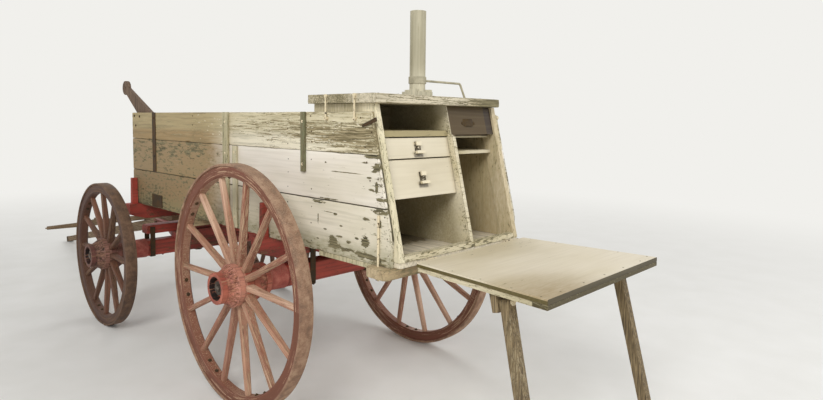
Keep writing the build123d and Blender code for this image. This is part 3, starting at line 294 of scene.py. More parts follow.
# Bare spots of the left side
upper_chips = ((-0.861, 1.433, 0.01, 0.018, 0.5), (-0.6, 1.47, 0.16, 0.02, 0.12), (-0.75, 1.51, 0.14, 0.012, 0.12))
middle_chips = (
    (-0.87, 1.394, 0.06, 0.008, 0.4), (-0.676, 1.308, 0.125, 0.0026, 0.46), (-0.904, 1.253, 0.008, 0.02, 0.42),
    (-0.852, 1.295, 0.018, 0.004, 0.4), (-0.821, 1.362, 0.022, 0.005, 0.4), (-0.867, 1.241, 0.016, 0.005, 0.4),
    (-0.528, 1.35, 0.012, 0.007, 0.34), (-0.93, 1.2, 0.034, 0.007, 0.38), (-0.885, 1.325, 0.016, 0.005, 0.38),
    (-0.56, 1.168, 0.11, 0.005, 0.38), (-0.905, 1.345, 0.022, 0.016, 0.3),
)
lower_chips = (
    (-0.929, 1.092, 0.009, 0.018, 0.42), (-0.833, 1.1, 0.022, 0.008, 0.42), (-0.589, 0.962, 0.046, 0.03, 0.36),
    (-0.827, 0.99, 0.028, 0.036, 0.36), (-0.651, 1.045, 0.014, 0.005, 0.42), (-0.604, 1.098, 0.014, 0.005, 0.42),
    (-0.524, 1.013, 0.016, 0.005, 0.42), (-0.708, 0.972, 0.018, 0.008, 0.4), (-0.77, 1.000, 0.016, 0.006, 0.42),
    (-0.467, 1.061, 0.005, 0.026, 0.42), (-0.467, 0.959, 0.014, 0.006, 0.42), (-0.925, 1.143, 0.055, 0.012, 0.4),
    (-0.7, 0.935, 0.12, 0.01, 0.3), (-0.86, 0.925, 0.08, 0.012, 0.32), (-0.64, 0.992, 0.03, 0.006, 0.34),
    (-0.55, 1.102, 0.04, 0.003, 0.4), (-0.47, 1.147, 0.05, 0.008, 0.42),
)
# Three sawn boards to a side, brushed cream: rain has streaked and grooved the upper one, the
# middle one is still smooth, and splashes have stained the lower one
crack_soil = "41361F"
board_finishes = {}
for hand, side, shift in (("left", 1, 0.0), ("right", -1, 3.7)):
    chipped = hand == "left"
    # Soil in the seam between a board's end and the box's cheek
    end_seam = ((("D", 0.01, 0.004), ("Y", side * 0.474, side * 0.469)), "4A4230", 1.6)
    board_finishes[hand, "upper"] = painted_timber(
        f"{hand}_upper_board_streaked_cream_paint", "X", "E6DEC6 D9CFB2 C9BE9A", "B4A684 8E8160 655B3E 3E3726", 0.44,
        "6B6240", 0.5,
        zones=(
            (("X", tail_x + 1.15, tail_x + 0.55), 0.05), (front_zone, -0.13), (("Z", 1.54, 1.56), -0.1),
            (("Z", 1.45, 1.425), -0.08),
        ),
        tints=(end_seam, (front_zone, "9C8258", 1.15), (("Z", 1.46, 1.5), "B9AD84", 0.6)),
        chips=upper_chips if chipped else (), relief=1.6, flake=(210, 9), checks=0.3, wave=9, shift=shift,
    )
    board_finishes[hand, "middle"] = painted_timber(
        f"{hand}_middle_board_smooth_cream_paint", "X", "EAE3D6 E4DCCE D8D0BE", grey_wood, 0.0, "857C58", 0.16,
        zones=((front_zone, 0.19), (("D", 0.1, 0.02), 0.14)),
        tints=(
            end_seam, (front_zone, "92784F", 1.25),
            (("Z", lower_crack + 5 * mm, lower_crack + 2 * mm), crack_soil, 1.1),
        ),
        chips=middle_chips if chipped else (), relief=0.6, flake=(60, 16), checks=0.12, chalky=0.5, wave=3, shift=shift,
    )
    board_finishes[hand, "lower"] = painted_timber(
        f"{hand}_lower_board_stained_cream_paint", "X", "E2DAC8 DAD2BE CDC5AE", grey_wood, 0.02, "7A7550", 0.28,
        zones=((front_zone, 0.19), (("Z", 0.97, 0.895), 0.1), (("X", tail_x + 0.3, tail_x + 0.05), 0.08)),
        tints=(
            end_seam, (front_zone, "8E7450", 1.25), (("Z", 1.02, 0.93), "83805A", 0.6),
            (("Z", lower_crack - 4 * mm, lower_crack - 1.5 * mm), crack_soil, 1.1),
        ),
        chips=lower_chips if chipped else (), relief=0.8, flake=(45, 18), checks=0.2, wave=5, shift=shift,
    )
# Cheeks and face strips: the thickest cream paint, chipped along the grain, darkened deeper inside the box as painted
# shade
strip_paint = painted_timber(
    "box_face_old_cream_paint", "Z", "F0E7CF E6DCC0 D2C8A6", grey_wood, 0.1, "7C7650", 0.32,
    zones=((("D", 0.03, 0.08), -0.05),),
    tints=((("D", 0.03, 0.15), "9A8E6C", 0.8), (("Y", -0.3, -0.32), "AC9870", 0.8)), flake=(40, 11), worn=0.22,
)
# Painted shadow on the drawers under the lip of both pulls
shadow_under_pulls = []
for pull in ("pull_upper", "pull_lower"):
    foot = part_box(pull)[0][2]
    beside = (("Y", 0.148, 0.16), ("Y", 0.226, 0.212))
    under = (("Z", foot - 22 * mm, foot - 10 * mm), ("Z", foot + 6 * mm, foot))
    shadow_under_pulls.append((beside + under, "4E4430", 1.0))
box_paint = painted_timber(
    "kitchen_box_cream_paint", "Y", "D6CCB4 D0C6AD C7BCA1", grey_wood, 0.0, "9A8D6C", 0.14, tints=shadow_under_pulls, checks=0.0,
    relief=0.3, chalky=0.45, flake=(20, 10),
)
# The box's upper right panel, and painted shade in its corner beside the cheek
panel_heights = (("Z", 1.475, 1.49), ("D", 0.06, 0.05))
panel_zone = (("Y", -0.055, -0.075), *panel_heights)
panel_corner_shade = (("Y", -0.366, -0.374), *panel_heights)
# Shelves and divider: flat cream paint, darkened towards the back and along the rail under the top board as painted
# shade
shelf_paint = painted_timber(
    "shelf_dull_cream_paint", "Y", "DDD4BC D3C9AE C4B996", grey_wood, 0.03, "7D7152", 0.2,
    zones=((panel_zone, -0.3), (("D", 0.06, 0.01), 0.12)),
    tints=(
        (("D", 0.02, 0.12), "8F8362", 0.9), (panel_zone, "46340F", 1.9), (panel_corner_shade, "2B1B08", 1.6),
        # Painted shade along the rail under the top board
        ((("Y", -0.055, -0.05), ("Z", 1.47, 1.478)), "A4976F", 1.4),
    ),
    checks=0.05, relief=0.4, flake=(40, 10), worn=0.2,
)
# Back of the box: one thin coat on rough boards, dull in the shade
back_paint = painted_timber("box_back_dull_paint", "Y", "9A8E6E 8A7E60 786C50", grey_wood, 0.3, "5A4E38", 0.4)
# Painted shade on the table's edges: its near side below the top, and its free end
table_end_x, _, table_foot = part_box("lid")[0]
shaded_table_edge = (("Z", 0.915, 0.9125), ("Z", table_foot + 0.5 * mm, table_foot + 2 * mm))
# Table top: planed and painted smooth, its cream browner towards its free end on its left half
table_paint = painted_timber(
    "table_cream_paint", "Y", "E0D6C0 DACFB6 CFC3A6", grey_wood, 0.01, "A0906C", 0.14,
    tints=(
        ((("X", tail_x - 0.35, tail_x - 0.75), ("Y", -0.1, 0.35)), "A38F6A", 1.0), (shaded_table_edge, "54491F", 1.6),
        (("X", table_end_x + 2.7 * mm, table_end_x + 0.5 * mm), "3E3416", 1.7),
    ),
    checks=0.0, relief=0.25, chalky=0.5, flake=(70, 12), worn=0.2,
)
# Battens: the table's cream with soil in the grain, and painted shade on the cross batten at the free end
batten_paint = painted_timber(
    "table_batten_dull_paint", "X", "DDD3B8 CFC4A4 B6AB88", grey_wood, 0.14, "5C5440", 0.4,
    tints=((("X", table_end_x + 74 * mm, table_end_x + 64 * mm), "473D1E", 1.6),), flake=(60, 9),
)
# Top board: rain has opened the grain, and cream is left on its ridges
top_paint = painted_timber(
    "top_board_rough_cream_paint", "Y", "CDC3AA B7AB8B 998E6B", grey_wood, 0.32, "6B6148", 0.6,
    zones=((("Z", 1.683, 1.679), 0.06),), relief=1.5, flake=(130, 6), wave=6,
)
# Cleats: sawn strips in old cream, the rear one dark with soil
rear_cleat_x = rear_x - 0.35
rear_cleat = (("X", rear_cleat_x - 0.05, rear_cleat_x - 0.04), ("X", rear_cleat_x + 0.05, rear_cleat_x + 0.04))
cleat_paint = painted_timber(
    "cleat_old_cream_paint", "Z", "CFC6A6 B9AF8C 9A906E", grey_wood, 0.2, "4A4A32", 0.5, zones=((rear_cleat, 0.1),),
    tints=((rear_cleat, "6F6F50", 1.5),), flake=(90, 12),
)
# Front end: rough boards with a third of their cream gone
front_end_paint = painted_timber(
    "front_end_old_cream_paint", "Y", "CFC6A6 BDB28C A3986F", grey_wood, 0.36, "5C5238", 0.5, relief=1.4,
    flake=(150, 12), wave=6,
)
# Sills: cream browned by road soil, worn at the ends
sill_paint = painted_timber(
    "sill_cream_paint", "Y", "BBA886 A7926E 8A7652", grey_wood, 0.24, "5F4E36", 0.55, flake=(40, 12), worn=0.26,
)
# The floor is bare, but painted where it shows under the kitchen box
box_floor = ("X", -2.4, -2.6)
bare_floor = painted_timber(
    "bed_bare_boards", "X", "A89A7C 968A6C", "A2957A 85785E 665B46 443C2F", 0.95, "4A4132", 0.5,
    zones=((box_floor, -0.8),), tints=((box_floor, "DDD2BA", 1.4),), relief=1.2,
)
# Dash bracket: bare sawn timber, dry and grey-brown, darkened as painted shade
bracket_wood_and_shade = painted_timber(
    "dash_bracket_bare_timber_darkened_as_shade", "Z", "907C68 7C6858", "8E7864 745F4E 58473A 352A21", 0.9, "4E4034", 0.4,
)
# Post: planed, in smooth grey-green paint with dusty streaks
post_paint = painted_timber(
    "post_grey_green_paint", "Z", "B9B29A ABA48B 999278", grey_wood, 0.03, "77725A", 0.6,
    tints=((("Z", 1.86, 1.74), "D6CFB6", 0.7),), checks=0.1, relief=0.5, flake=(160, 10),
)
# Legs: bare timber with an open, dark grain
leg_wood = painted_timber(
    "leg_weathered_timber", "Z", "A39474 8D7E60", "9A8767 7C6B4D 5B4D38 352C20", 0.74, "4C402E", 0.5, relief=1.6,
    flake=(160, 8),
)
# Tongue, evener and singletrees: hewn timber worn bare
draft_wood = {
    lie: painted_timber(
        f"{part}_weathered_timber", lie, "A58E72 93795E", "A18B6E 836D53 64523E 40342A", 0.75, "4C3E30", 0.5,
        relief=1.2,
    )
    for part, lie in (("draft", "X"), ("evener", "Y"))
}
# Running gear: red paint over dark timber, dulled by road soil
gear_red = {
    lie: painted_timber(
        f"gear_red_paint_{way}", lie, "B04636 96382B 742A20", "7E5C42 62432F 472F20 301F16", 0.22, "3C2A20", 0.6,
    )
    for way, lie in (("lengthways", "X"), ("crossways", "Y"))
}
# Tyre and rim together are 73 mm deep
rim_depth = 0.073
rear_rim_inside = rear_z - rim_depth
front_rim_inside = front_z - rim_depth
rear_rim = ("R", rear_rim_inside - 1 * mm, rear_rim_inside + 1 * mm)
front_rim = ("R", front_rim_inside - 1 * mm, front_rim_inside + 1 * mm)
# Spokes and felloes: red gone pale and pinkish over bare grain behind, and brown in front, darkened there partly as
# painted shade. The rear ones are redder above and behind the axle, and below and before it
rear_wheel_paint = painted_timber(
    "rear_wheel_faded_red_paint", (rear_x, rear_z, rear_rim_inside), "D2B096 B88C72 96644E",
    "C8AA8E AC8A6E 886A54 5E4636", 0.38, "7E4636", 0.5, zones=((rear_rim, -0.05),),
    tints=(
        ((("X", rear_x + 0.04, rear_x - 0.02), ("Z", rear_z + 0.08, rear_z + 0.16)), "874F3B", 1.0),
        ((("X", rear_x - 0.02, rear_x + 0.04), ("Z", rear_z - 0.08, rear_z - 0.16)), "8A5643", 0.9),
        (rear_rim, "6A3D28", 1.7),
    ),
    flake=(150, 8), checks=0.2, relief=0.8, axle=(rear_x, rear_z),
)
front_wheel_paint_and_shade = painted_timber(
    "front_wheel_brown_paint_darkened_as_shade", (front_x, front_z, front_rim_inside), "7E543E 66402F 502F22",
    "82644C 674B37 4B3627 2E2119", 0.42, "46302A", 0.5, tints=((front_rim, "47291B", 1.6),), flake=(150, 8), checks=0.2,
    relief=0.8, axle=(front_x, front_z),
)
# Hubs: iron bands with old paint at the nose and beside the spokes, and cracked bare wood between
hub_rows = {
    "rear": (rear_x, rear_z, "BE7058 9C4C3C 7A362A", "C8907A", "AE7A60 905C48 683C2C 321C14"),
    "front": (front_x, front_z, "8A5646 70443A 58332A", "9C7262", "8E6A56 70503F 4C3529 281B15"),
}
hub_paints = {}
for end, (axle_x, axle_z, coats, pale, wood) in hub_rows.items():
    for hand, side in both_sides:
        # The bare parts of the barrel, outside and inside the spokes, in millimetres from the tyre's middle
        track_y = abs(middle(f"{end}_{hand}_tyre").y)
        outside = [side * (track_y + reach * mm) for reach in (87, 83, 34, 30)]
        inside = [side * (track_y - reach * mm) for reach in (90, 94, 140, 144)]
        hub_paints[end, hand] = painted_timber(
            f"{end}_{hand}_hub_cracked_paint", "Y", coats, wood, 0.3, "4A2620", 0.5,
            zones=[((("Y", *part[:2]), ("Y", part[3], part[2])), 0.12) for part in (outside, inside)],
            tints=(
                ((("Y", *outside[1:3]), ("Y", outside[3] - side * 0.05, outside[3] - side * 0.04)), pale, 0.9),
                (("R", 0.066, 0.062), "1C1310", 1.6),
            ),
            flake=(180, 12), fibre=(420, 15), checks=0.2, relief=1.8, axle=(axle_x, axle_z), shift=side * 2.3,
        )
# Tyres: rolled iron with light rust and dust, the front pair darker, partly as painted shade
tyre_iron = forged_iron("tyre_rusty_iron", "745643 8F6D56 AC8D74", "C8B096", 0.5, metallic=0.2)
front_tyre_rust_and_shade = forged_iron("front_tyre_rusty_iron_darkened_as_shade", "46342A 5E4636 785D4A", "8A7258", 0.35, metallic=0.2)
# Fittings: small forgings, nearly black in their pits and brown where rust has dried
rust = "30271A 45331E 583F24"
dark_iron = forged_iron("fittings_dark_rusty_iron", rust, "7C694A", 0.25)
# The irons of the bed are painted over, less and less from x = -1.2 to x = -0.6
box_iron = forged_iron("box_irons_cream_over_rust", rust, "7C694A", 0.25, coat=("DCCFB0", (1, 0, 0), -0.6, -1.2))
# The bail's grey and the skeins' red are thin coats, so their rust still shows
bail_iron = forged_iron("bail_grey_painted_iron", "8E8872 A8A189 BDB69E", "C9C2AC", 0.3, metallic=0.1)
red_iron = forged_iron("skein_red_painted_iron", "8A3A32 A04C42 B4695A", "B4937C", 0.35, metallic=0.1)
# Pulls worn bright on what a hand takes hold of, with painted shade dark on the plate behind them
plate_depth = face_depth + 22.8 * mm
pull_metal = forged_iron(
    "pull_bright_metal_with_painted_shade_on_plate", "C9BFA4 DCD2BA E8E0CC", "8E8468", 0.3, metallic=0.5, rough=0.35,
    # The coat is painted shade on the plate, between the pull's block and its lip
    coat=("4A412F", (1, 0, -box_lean), plate_depth - 9 * mm, plate_depth - 1 * mm),
)
# The panel's pull is browned all over, and the axle nuts are worn bright at their corners
brown_iron = forged_iron("panel_pull_brown_iron", "2E1F0B 3A2A10 4A3817", "6A5430", 0.3, metallic=0.2)
bright_iron = forged_iron("nut_worn_iron", "352D28 5A5048 958B80", "3E3028", 0.4, metallic=0.8, rough=0.3)

finishes = {
    strip_paint: ("cheek_left", "cheek_right"),
    box_paint: ("drawer_lower", "drawer_upper"),
    shelf_paint: ("shelves",),
    table_paint: ("lid",),
    batten_paint: ("lid_battens",),
    cleat_paint: ("side_cleats",),
    bracket_wood_and_shade: ("dash_bracket",),
    sill_paint: ("cross_sills",),
    post_paint: ("post",),
    leg_wood: ("leg_left", "leg_right", "leg_blocks"),
    draft_wood["X"]: ("tongue",),
    draft_wood["Y"]: ("evener", "singletree_left", "singletree_right"),
    gear_red["X"]: ("reach", "rear_hounds", "front_hounds"),
    gear_red["Y"]: ("rear_axle", "front_axle", "rear_bolster", "front_bolster", "sand_board"),
    rear_wheel_paint: ("rear_left_rim", "rear_right_rim"),
    front_wheel_paint_and_shade: ("front_left_rim", "front_right_rim"),
    **{paint: (f"{end}_{hand}_hub",) for (end, hand), paint in hub_paints.items()},
    tyre_iron: ("rear_left_tyre", "rear_right_tyre"),
    front_tyre_rust_and_shade: ("front_left_tyre", "front_right_tyre"),
    red_iron: ("rear_skeins", "front_skeins"),
    dark_iron: ("kingbolt", "front_irons", "rear_clips", "tongue_irons"),
    box_iron: ("bed_irons", "lid_irons"),
    bail_iron: ("top_bail",),
    pull_metal: ("pull_lower", "pull_upper"),
}
for finish, names in finishes.items():
    for name in names:
        materials = node[name].data.materials
        materials.clear()
        materials.append(finish)

# Sawn corners are broken by hand and by wear
broken_corners = {
    2.5 * mm: (
        "cheek_left", "cheek_right", "shelves", "drawer_lower", "drawer_upper", "lid", "lid_battens", "dash_bracket",
        "side_cleats", "leg_left", "leg_right", "leg_blocks",
    ),
    5 * mm: (
        "cross_sills", "rear_bolster", "front_bolster", "sand_board", "reach", "rear_hounds",
        "front_hounds", "tongue", "evener",
    ),
    3 * mm: ("rear_left_tyre", "rear_right_tyre", "front_left_tyre", "front_right_tyre"),
    1 * mm: ("bed_irons", "lid_irons", "rear_clips", "front_irons", "tongue_irons", "pull_lower", "pull_upper"),
}
for width, names in broken_corners.items():
    for name in names:
        modifiers = node[name].modifiers
        join = modifiers.new("join", "WELD")
        join.merge_threshold = 0.02 * mm
        flat = modifiers.new("flat", "DECIMATE")
        flat.decimate_type = "DISSOLVE"
        flat.angle_limit = radians(1)
        corner = modifiers.new("corner", "BEVEL")
        corner.width = width
        corner.segments = 2
        corner.limit_method = "ANGLE"
        corner.angle_limit = radians(38)
        corner.use_clamp_overlap = True


# Pieces made in mesh code

def piece(name, shapes, finish, body="bed", stands_for=(), sharp=40):
    """A new piece from the points and faces of its shapes, on its body and with its finish.
    Most are irons of the bed. Edges bent by more than sharp degrees stay crisp."""
    points, faces = together(shapes)
    mesh = bpy.data.meshes.new(name)
    mesh.from_pydata([tuple(point) for point in points], [], faces)
    draft = bmesh.new()
    draft.from_mesh(mesh)
    bmesh.ops.recalc_face_normals(draft, faces=draft.faces)
    draft.to_mesh(mesh)
    draft.free()
    mesh.shade_smooth()
    mesh.set_sharp_from_angle(angle=radians(sharp))
    mesh.materials.append(finish)
    made = bpy.data.objects.new(name, mesh)
    bpy.context.scene.collection.objects.link(made)
    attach(made, body)
    if stands_for:
        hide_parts(*stands_for)


def together(shapes):
    """Several shapes as one."""
    points, faces = [], []
    for more_points, more_faces in shapes:
        start = len(points)
        points.extend(more_points)
        faces.extend([start + corner for corner in face] for face in more_faces)
    return points, faces


def skin(rings, count):
    """Faces between rings of count points each, and over the first and the last ring."""
    faces = []
    for start in range(0, (rings - 1) * count, count):
        for step in range(count):
            after = (step + 1) % count
            faces.append([start + step, start + after, start + count + after, start + count + step])
    faces.append(list(range(count)))
    faces.append([(rings - 1) * count + step for step in range(count)])
    return faces


def turned(outline, at, facing, sides, twist=0.0):
    """Outline of (radius, height) pairs in millimetres, turned about the facing direction.
    Four sides make a square nut."""
    frame_of = Vector(facing).normalized().to_track_quat("Z", "Y").to_matrix()
    points = []
    for radius, height in outline:
        for step in range(sides):
            angle = twist + 2 * pi * step / sides
            spot = Vector((radius * mm * cos(angle), radius * mm * sin(angle), height * mm))
            points.append(Vector(at) + frame_of @ spot)
    return points, skin(len(outline), sides)


def nail(at, facing, radius):
    """Hammered nail head, slightly domed."""
    return turned(((radius, -0.5), (radius, 0.5), (radius * 0.6, 1.4)), at, facing, 8)


def bolt_head(at, facing, radius):
    """Domed head of a carriage bolt."""
    dome = ((radius, -1), (radius, 1), (radius * 0.8, radius * 0.3), (radius * 0.4, radius * 0.45))
    return turned(dome, at, facing, 14)


def square_nut(at, facing, size, twist):
    """Square nut on a round washer, with the bolt's end standing out."""
    washer = turned(((size * 1.55, -0.5), (size * 1.55, 2)), at, facing, 16)
    nut = turned(((size * 1.3, 2), (size * 1.3, size * 0.8), (size * 1.05, size)), at, facing, 4, twist)
    stud = turned(((size * 0.5, size * 0.8), (size * 0.5, size * 1.3), (size * 0.35, size * 1.45)), at, facing, 10)
    return together((washer, nut, stud))


def old_board(run, across, depth, ends, severity, seed, wear, step=26 * mm, row=6.5 * mm):
    """Weathered board with grooves along its grain and chipped long corners.
    run, across and depth are axis numbers; across and depth come with their low and high limits,
    ends gives where the board starts and stops at a place across it, severity gives the depth of
    its grooves at a place, and wear scales the chips of its four corners in turn. Its points
    stand one step apart along it and one row apart around it."""
    across, low, high = across
    depth, back, front = depth
    corner = 2 * mm
    chip_reach = 11 * mm
    outline = []
    corners = ((low, front), (high, front), (high, back), (low, back))
    for turn, inward in enumerate(((0, -1), (-1, 0), (0, 1), (1, 0))):
        start, end, inward = Vector(corners[turn]), Vector(corners[(turn + 1) % 4]), Vector(inward)
        length = (end - start).length
        count = max(2, round(length / row))
        for place in range(count + 1):
            reach = corner + (length - 2 * corner) * place / count
            spot = start.lerp(end, reach / length)
            near = turn if reach < length / 2 else (turn + 1) % 4
            close = max(0.0, 1 - min(reach, length - reach) / chip_reach)
            outline.append((spot, inward, near, close))
    first, last = ends((low + high) / 2)
    stations = max(2, round((last - first) / step))
    points = []
    for station in range(stations + 1):
        share = station / stations
        for spot, inward, near, close in outline:
            start_x, end_x = ends(spot[0])
            along = start_x + (end_x - start_x) * share
            if station in (0, stations):
                nibble = 3 * mm * abs(noise.noise(Vector((spot[0] * 60, spot[1] * 60, seed))))
                along += nibble if station == 0 else -nibble
            # Grooves run along with the grain, and chips come every few centimetres along a corner
            groove = 0.5 + 0.5 * noise.noise(Vector((along * 1.6, spot[0] * 75, spot[1] * 75 + seed * 7.3)))
            bite = noise.noise(Vector((along * 11, near * 5.7, seed)))
            bite += 0.6 * noise.noise(Vector((along * 31, near * 9.1, seed + 4)))
            chip = (1.2 * mm + 11 * mm * max(0.0, bite - 0.12)) * wear[near] * close
            sunk = severity(along, spot[0]) * groove ** 2 + chip
            drawn_in = 0.0 if inward[0] else 0.6 * chip * (1 if near in (0, 3) else -1)
            place = [0.0, 0.0, 0.0]
            place[run] = along
            place[across] = spot[0] + inward[0] * sunk + drawn_in
            place[depth] = spot[1] + inward[1] * sunk
            points.append(place)
    return points, skin(stations + 1, len(outline))


# Side boards

def side_tail(z):
    """Rear end of the side boards at height z: along the box's leaning face, then square below."""
    return max(face_x(z), tail_x)


def side_severity(x, z):
    """Depth of the weather's grooves: deepest on the upper board towards the rear."""
    if z > upper_crack:
        return 2.6 * mm if x < tail_x + 1.1 else 1.8 * mm
    return 1.0 * mm if z < lower_crack else 0.5 * mm


board_rows = (
    ("lower", side_foot, lower_crack, 0.9),
    ("middle", lower_crack + 0.6 * mm, upper_crack, 0.7),
    ("upper", upper_crack + 0.6 * mm, side_head, 1.1),
)
for hand, side in both_sides:
    low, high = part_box(f"side_{hand}")
    for turn, (level, foot, head, wear) in enumerate(board_rows):
        corner_wear = (wear, wear, 0.1, 0.1) if side > 0 else (0.1, 0.1, wear, wear)
        board = old_board(
            0, (2, foot, head), (1, low[1], high[1]), lambda z: (side_tail(z), side_front_x),
            side_severity, 3 * turn + (0 if side > 0 else 50), corner_wear,
        )
        finish = board_finishes[hand, level]
        piece(f"{hand}_{level}_side_board", [board], finish, "bed", (f"side_{hand}",))

# Top board of the kitchen box: three planks across the wagon
low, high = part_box("top_board")
plank = (high[0] - low[0]) / 3
planks = []
for turn in range(3):
    start = low[0] + turn * plank
    planks.append(
        old_board(
            1, (0, start, start + plank - 0.6 * mm), (2, low[2], high[2]),
            lambda x: (low[1], high[1]), lambda y, x: 1.8 * mm, 20 + turn,
            (0.5, 0.5, 0.2, 0.2) if turn else (1.0, 0.5, 0.4, 1.0), step=18 * mm, row=6 * mm,
        )
    )
piece("top_board_planks", planks, top_paint, "bed", ("top_board",))

# Planks of the bed's floor, the box's back and the bed's front end: node, the axes that they run
# along, stand side by side on and are thin on, their number, the last one's lap, finish and slot
plank_rows = (
    ("bed_floor", 0, 1, 2, 6, 0, bare_floor, "bare_boards"),
    ("chuck_back", 1, 2, 0, 4, 4 * mm, back_paint, "bare_boards"),
    ("front_end", 1, 2, 0, 3, 0, front_end_paint, "flaking_paint"),
)
for name, run, across, depth, count, lap, finish, slot in plank_rows:
    low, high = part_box(name)
    width = (high[across] - low[across]) / count
    planks = []
    for turn in range(count):
        start = low[across] + turn * width + 0.5 * mm
        stop = low[across] + (turn + 1) * width - 0.5 * mm + (lap if turn == count - 1 else 0)
        planks.append(
            old_board(
                run, (across, start, stop), (depth, low[depth], high[depth]), lambda place: (low[run], high[run]),
                lambda along, place: 1.0 * mm, 40 + turn, (0.3,) * 4, step=40 * mm, row=14 * mm,
            )
        )
    piece(f"{name}_planks", planks, finish, "bed", (name,))

# Nails: three in each side board at its ends, at the cleats and at the box's back
draw = Random(7)
for hand, side in both_sides:
    nails = []
    for _, foot, head, _ in board_rows:
        for share in (0.2, 0.52, 0.83):
            z = foot + (head - foot) * share
            tail = side_tail(z)
            at_cleats = (rear_x - 0.409, rear_x - 0.2, rear_x + 0.9)
            for x in (tail + 0.016, tail + 0.075, *at_cleats, side_front_x - 0.013):
                if draw.random() < 0.85:
                    spot = (x + draw.uniform(-5, 5) * mm, side * (side_y - 0.5 * mm), z + draw.uniform(-12, 12) * mm)
                    nails.append(nail(spot, (0, side, 0), draw.uniform(3.2, 4.6)))
    piece(f"{hand}_side_nails", nails, dark_iron)

# Paint flakes that have let go at one end and curl off the boards
flake_paint = painted_timber(
    "loose_flake_cream_paint", "X", "DED5BC CCC3A6", grey_wood, 0.06, "4E4434", 0.35, checks=0.1, relief=0.3,
)
for hand, side in both_sides:
    draw = Random(31 if side > 0 else 32)
    curls = []
    for _ in range(120):
        # Most flakes hang on the upper board, and some beside the edges of the lower one
        board = draw.choice((0, 2, 2, 2, 2, 2))
        foot, head = board_rows[board][1:3]
        z = draw.uniform(foot + 0.01, head - 0.01)
        if board < 2:
            z = draw.choice((foot + 0.012, head - 0.014)) + draw.uniform(-8, 8) * mm
        x = side_tail(z) + 0.03 + 1.7 * draw.random() ** 1.4
        long, wide = draw.uniform(8, 24) * mm, draw.uniform(3, 6) * mm
        lift = draw.uniform(1.0, 3.6) * mm
        tilt = draw.uniform(-0.25, 0.25)
        points = []
        for step in range(4):
            y = side * (side_y - 0.7 * mm + lift * (step / 3) ** 2)
            narrow = wide * (1 - 0.5 * abs(step / 3 - 0.4)) / 2
            along = long * (step / 3 - 0.5)
            for edge in (-1, 1):
                points.append((x + along * cos(tilt), y, z + along * sin(tilt) + edge * narrow))
        faces = [[2 * step, 2 * step + 1, 2 * step + 3, 2 * step + 2] for step in range(3)]
        curls.append((points, faces))
    piece(f"{hand}_paint_flakes", curls, flake_paint, "bed")

# Wheel hardware: felloe bolts with nuts inside the rim, and the axle nuts in the hub noses.
# Rows give an end's axle x and z, its rim's inner radius, its spokes and the axle nuts' body
wheel_rows = (
    ("rear", rear_x, rear_z, rear_rim_inside, 14, "bed"),
    ("front", front_x, front_z, front_rim_inside, 12, "front_gear"),
)


def beside_joints(spokes, side):
    """Joint numbers and outward directions of the bolts on both sides of each felloe joint."""
    bolts = []
    for joint in range(spokes // 2):
        for lean in (-0.075, 0.075):
            angle = pi / spokes + 2 * pi * joint / (spokes // 2) + lean
            bolts.append((joint, Vector((cos(angle), 0, -side * sin(angle)))))
    return bolts


for end, axle_x, axle_z, rim_inside, spokes, carrier in wheel_rows:
    for hand, side in both_sides:
        centre = middle(f"{end}_{hand}_tyre")
        nuts = [
            square_nut(centre + outward * (rim_inside + 0.5 * mm), -outward, 7.5, 0.3 + joint)
            for joint, outward in beside_joints(spokes, side)
        ]
        piece(f"{end}_{hand}_felloe_nuts", nuts, dark_iron, f"wheel_{end}_{hand}")
        nose = (axle_x, side * (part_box(f"{end}_skeins")[1][1] - 26 * mm), axle_z)
        nut = turned(((46, 0), (46, 24), (40, 30), (22, 30), (20, 38), (12, 41)), nose, (0, side, 0), 6, 0.3)
        piece(f"{end}_{hand}_axle_nut", [nut], bright_iron, carrier, sharp=20)

# Flush tyre bolts on the treads, beside each felloe joint
for end, _, axle_z, _, spokes, _ in wheel_rows:
    for hand, side in both_sides:
        # An axle stands one tyre radius over the ground
        centre, radius = middle(f"{end}_{hand}_tyre"), axle_z
        heads = [
            turned(((9, -1), (9, 0.4), (6, 0.9)), centre + outward * (radius - 0.3 * mm), outward, 12)
            for _, outward in beside_joints(spokes, side)
        ]
        iron = tyre_iron if end == "rear" else front_tyre_rust_and_shade
        piece(f"{end}_{hand}_tyre_bolts", heads, iron, f"wheel_{end}_{hand}")

# Nuts of the running gear by body: x, distance from the middle, z, facing and half size
up, down = (0, 0, 1), (0, 0, -1)
gear_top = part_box("rear_hounds")[1][2]
clip_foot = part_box("rear_clips")[0][2]
sway_bar_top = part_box("front_hounds")[1][2]
axle_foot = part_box("front_axle")[0][2] - 0.5 * mm
hound_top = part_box("sand_board")[0][2] + 0.5 * mm
gear_nuts = {
    "bed": [
        # The bolsters' undersides rise outwards by 1 in 20
        *(
            (axle_x - 0.02, y, 0.793 + (y - 0.3) * 0.05, down, 11)
            for axle_x in (rear_x, front_x) for y in (0.3, 0.42)
        ),
        (rear_x - 0.06, 0.329, gear_top, up, 10), (rear_x + 0.08, 0.329, gear_top, up, 10),
        (rear_x + 0.66, 0.018, gear_top, up, 9), (rear_x + 0.06, 0.215, clip_foot, down, 9),
        (rear_x - 0.06, 0.215, clip_foot, down, 9), (rear_x + 0.4, 0.19, gear_top, up, 9),
    ],
    "front_gear": [
        (front_x - 0.365, 0.219, sway_bar_top, up, 10), (front_x, 0.194, axle_foot, down, 11),
        (front_x + 0.3, 0.135, hound_top, up, 9), (front_x, 0.3, axle_foot, down, 11),
    ],
}
for body, rows in gear_nuts.items():
    nuts = []
    for side in (1, -1):
        for x, y, z, facing, size in rows:
            nuts.append(square_nut((x, side * y, z), facing, size, 0.2 + len(nuts)))
    piece(f"{body}_gear_nuts", nuts, dark_iron, body)

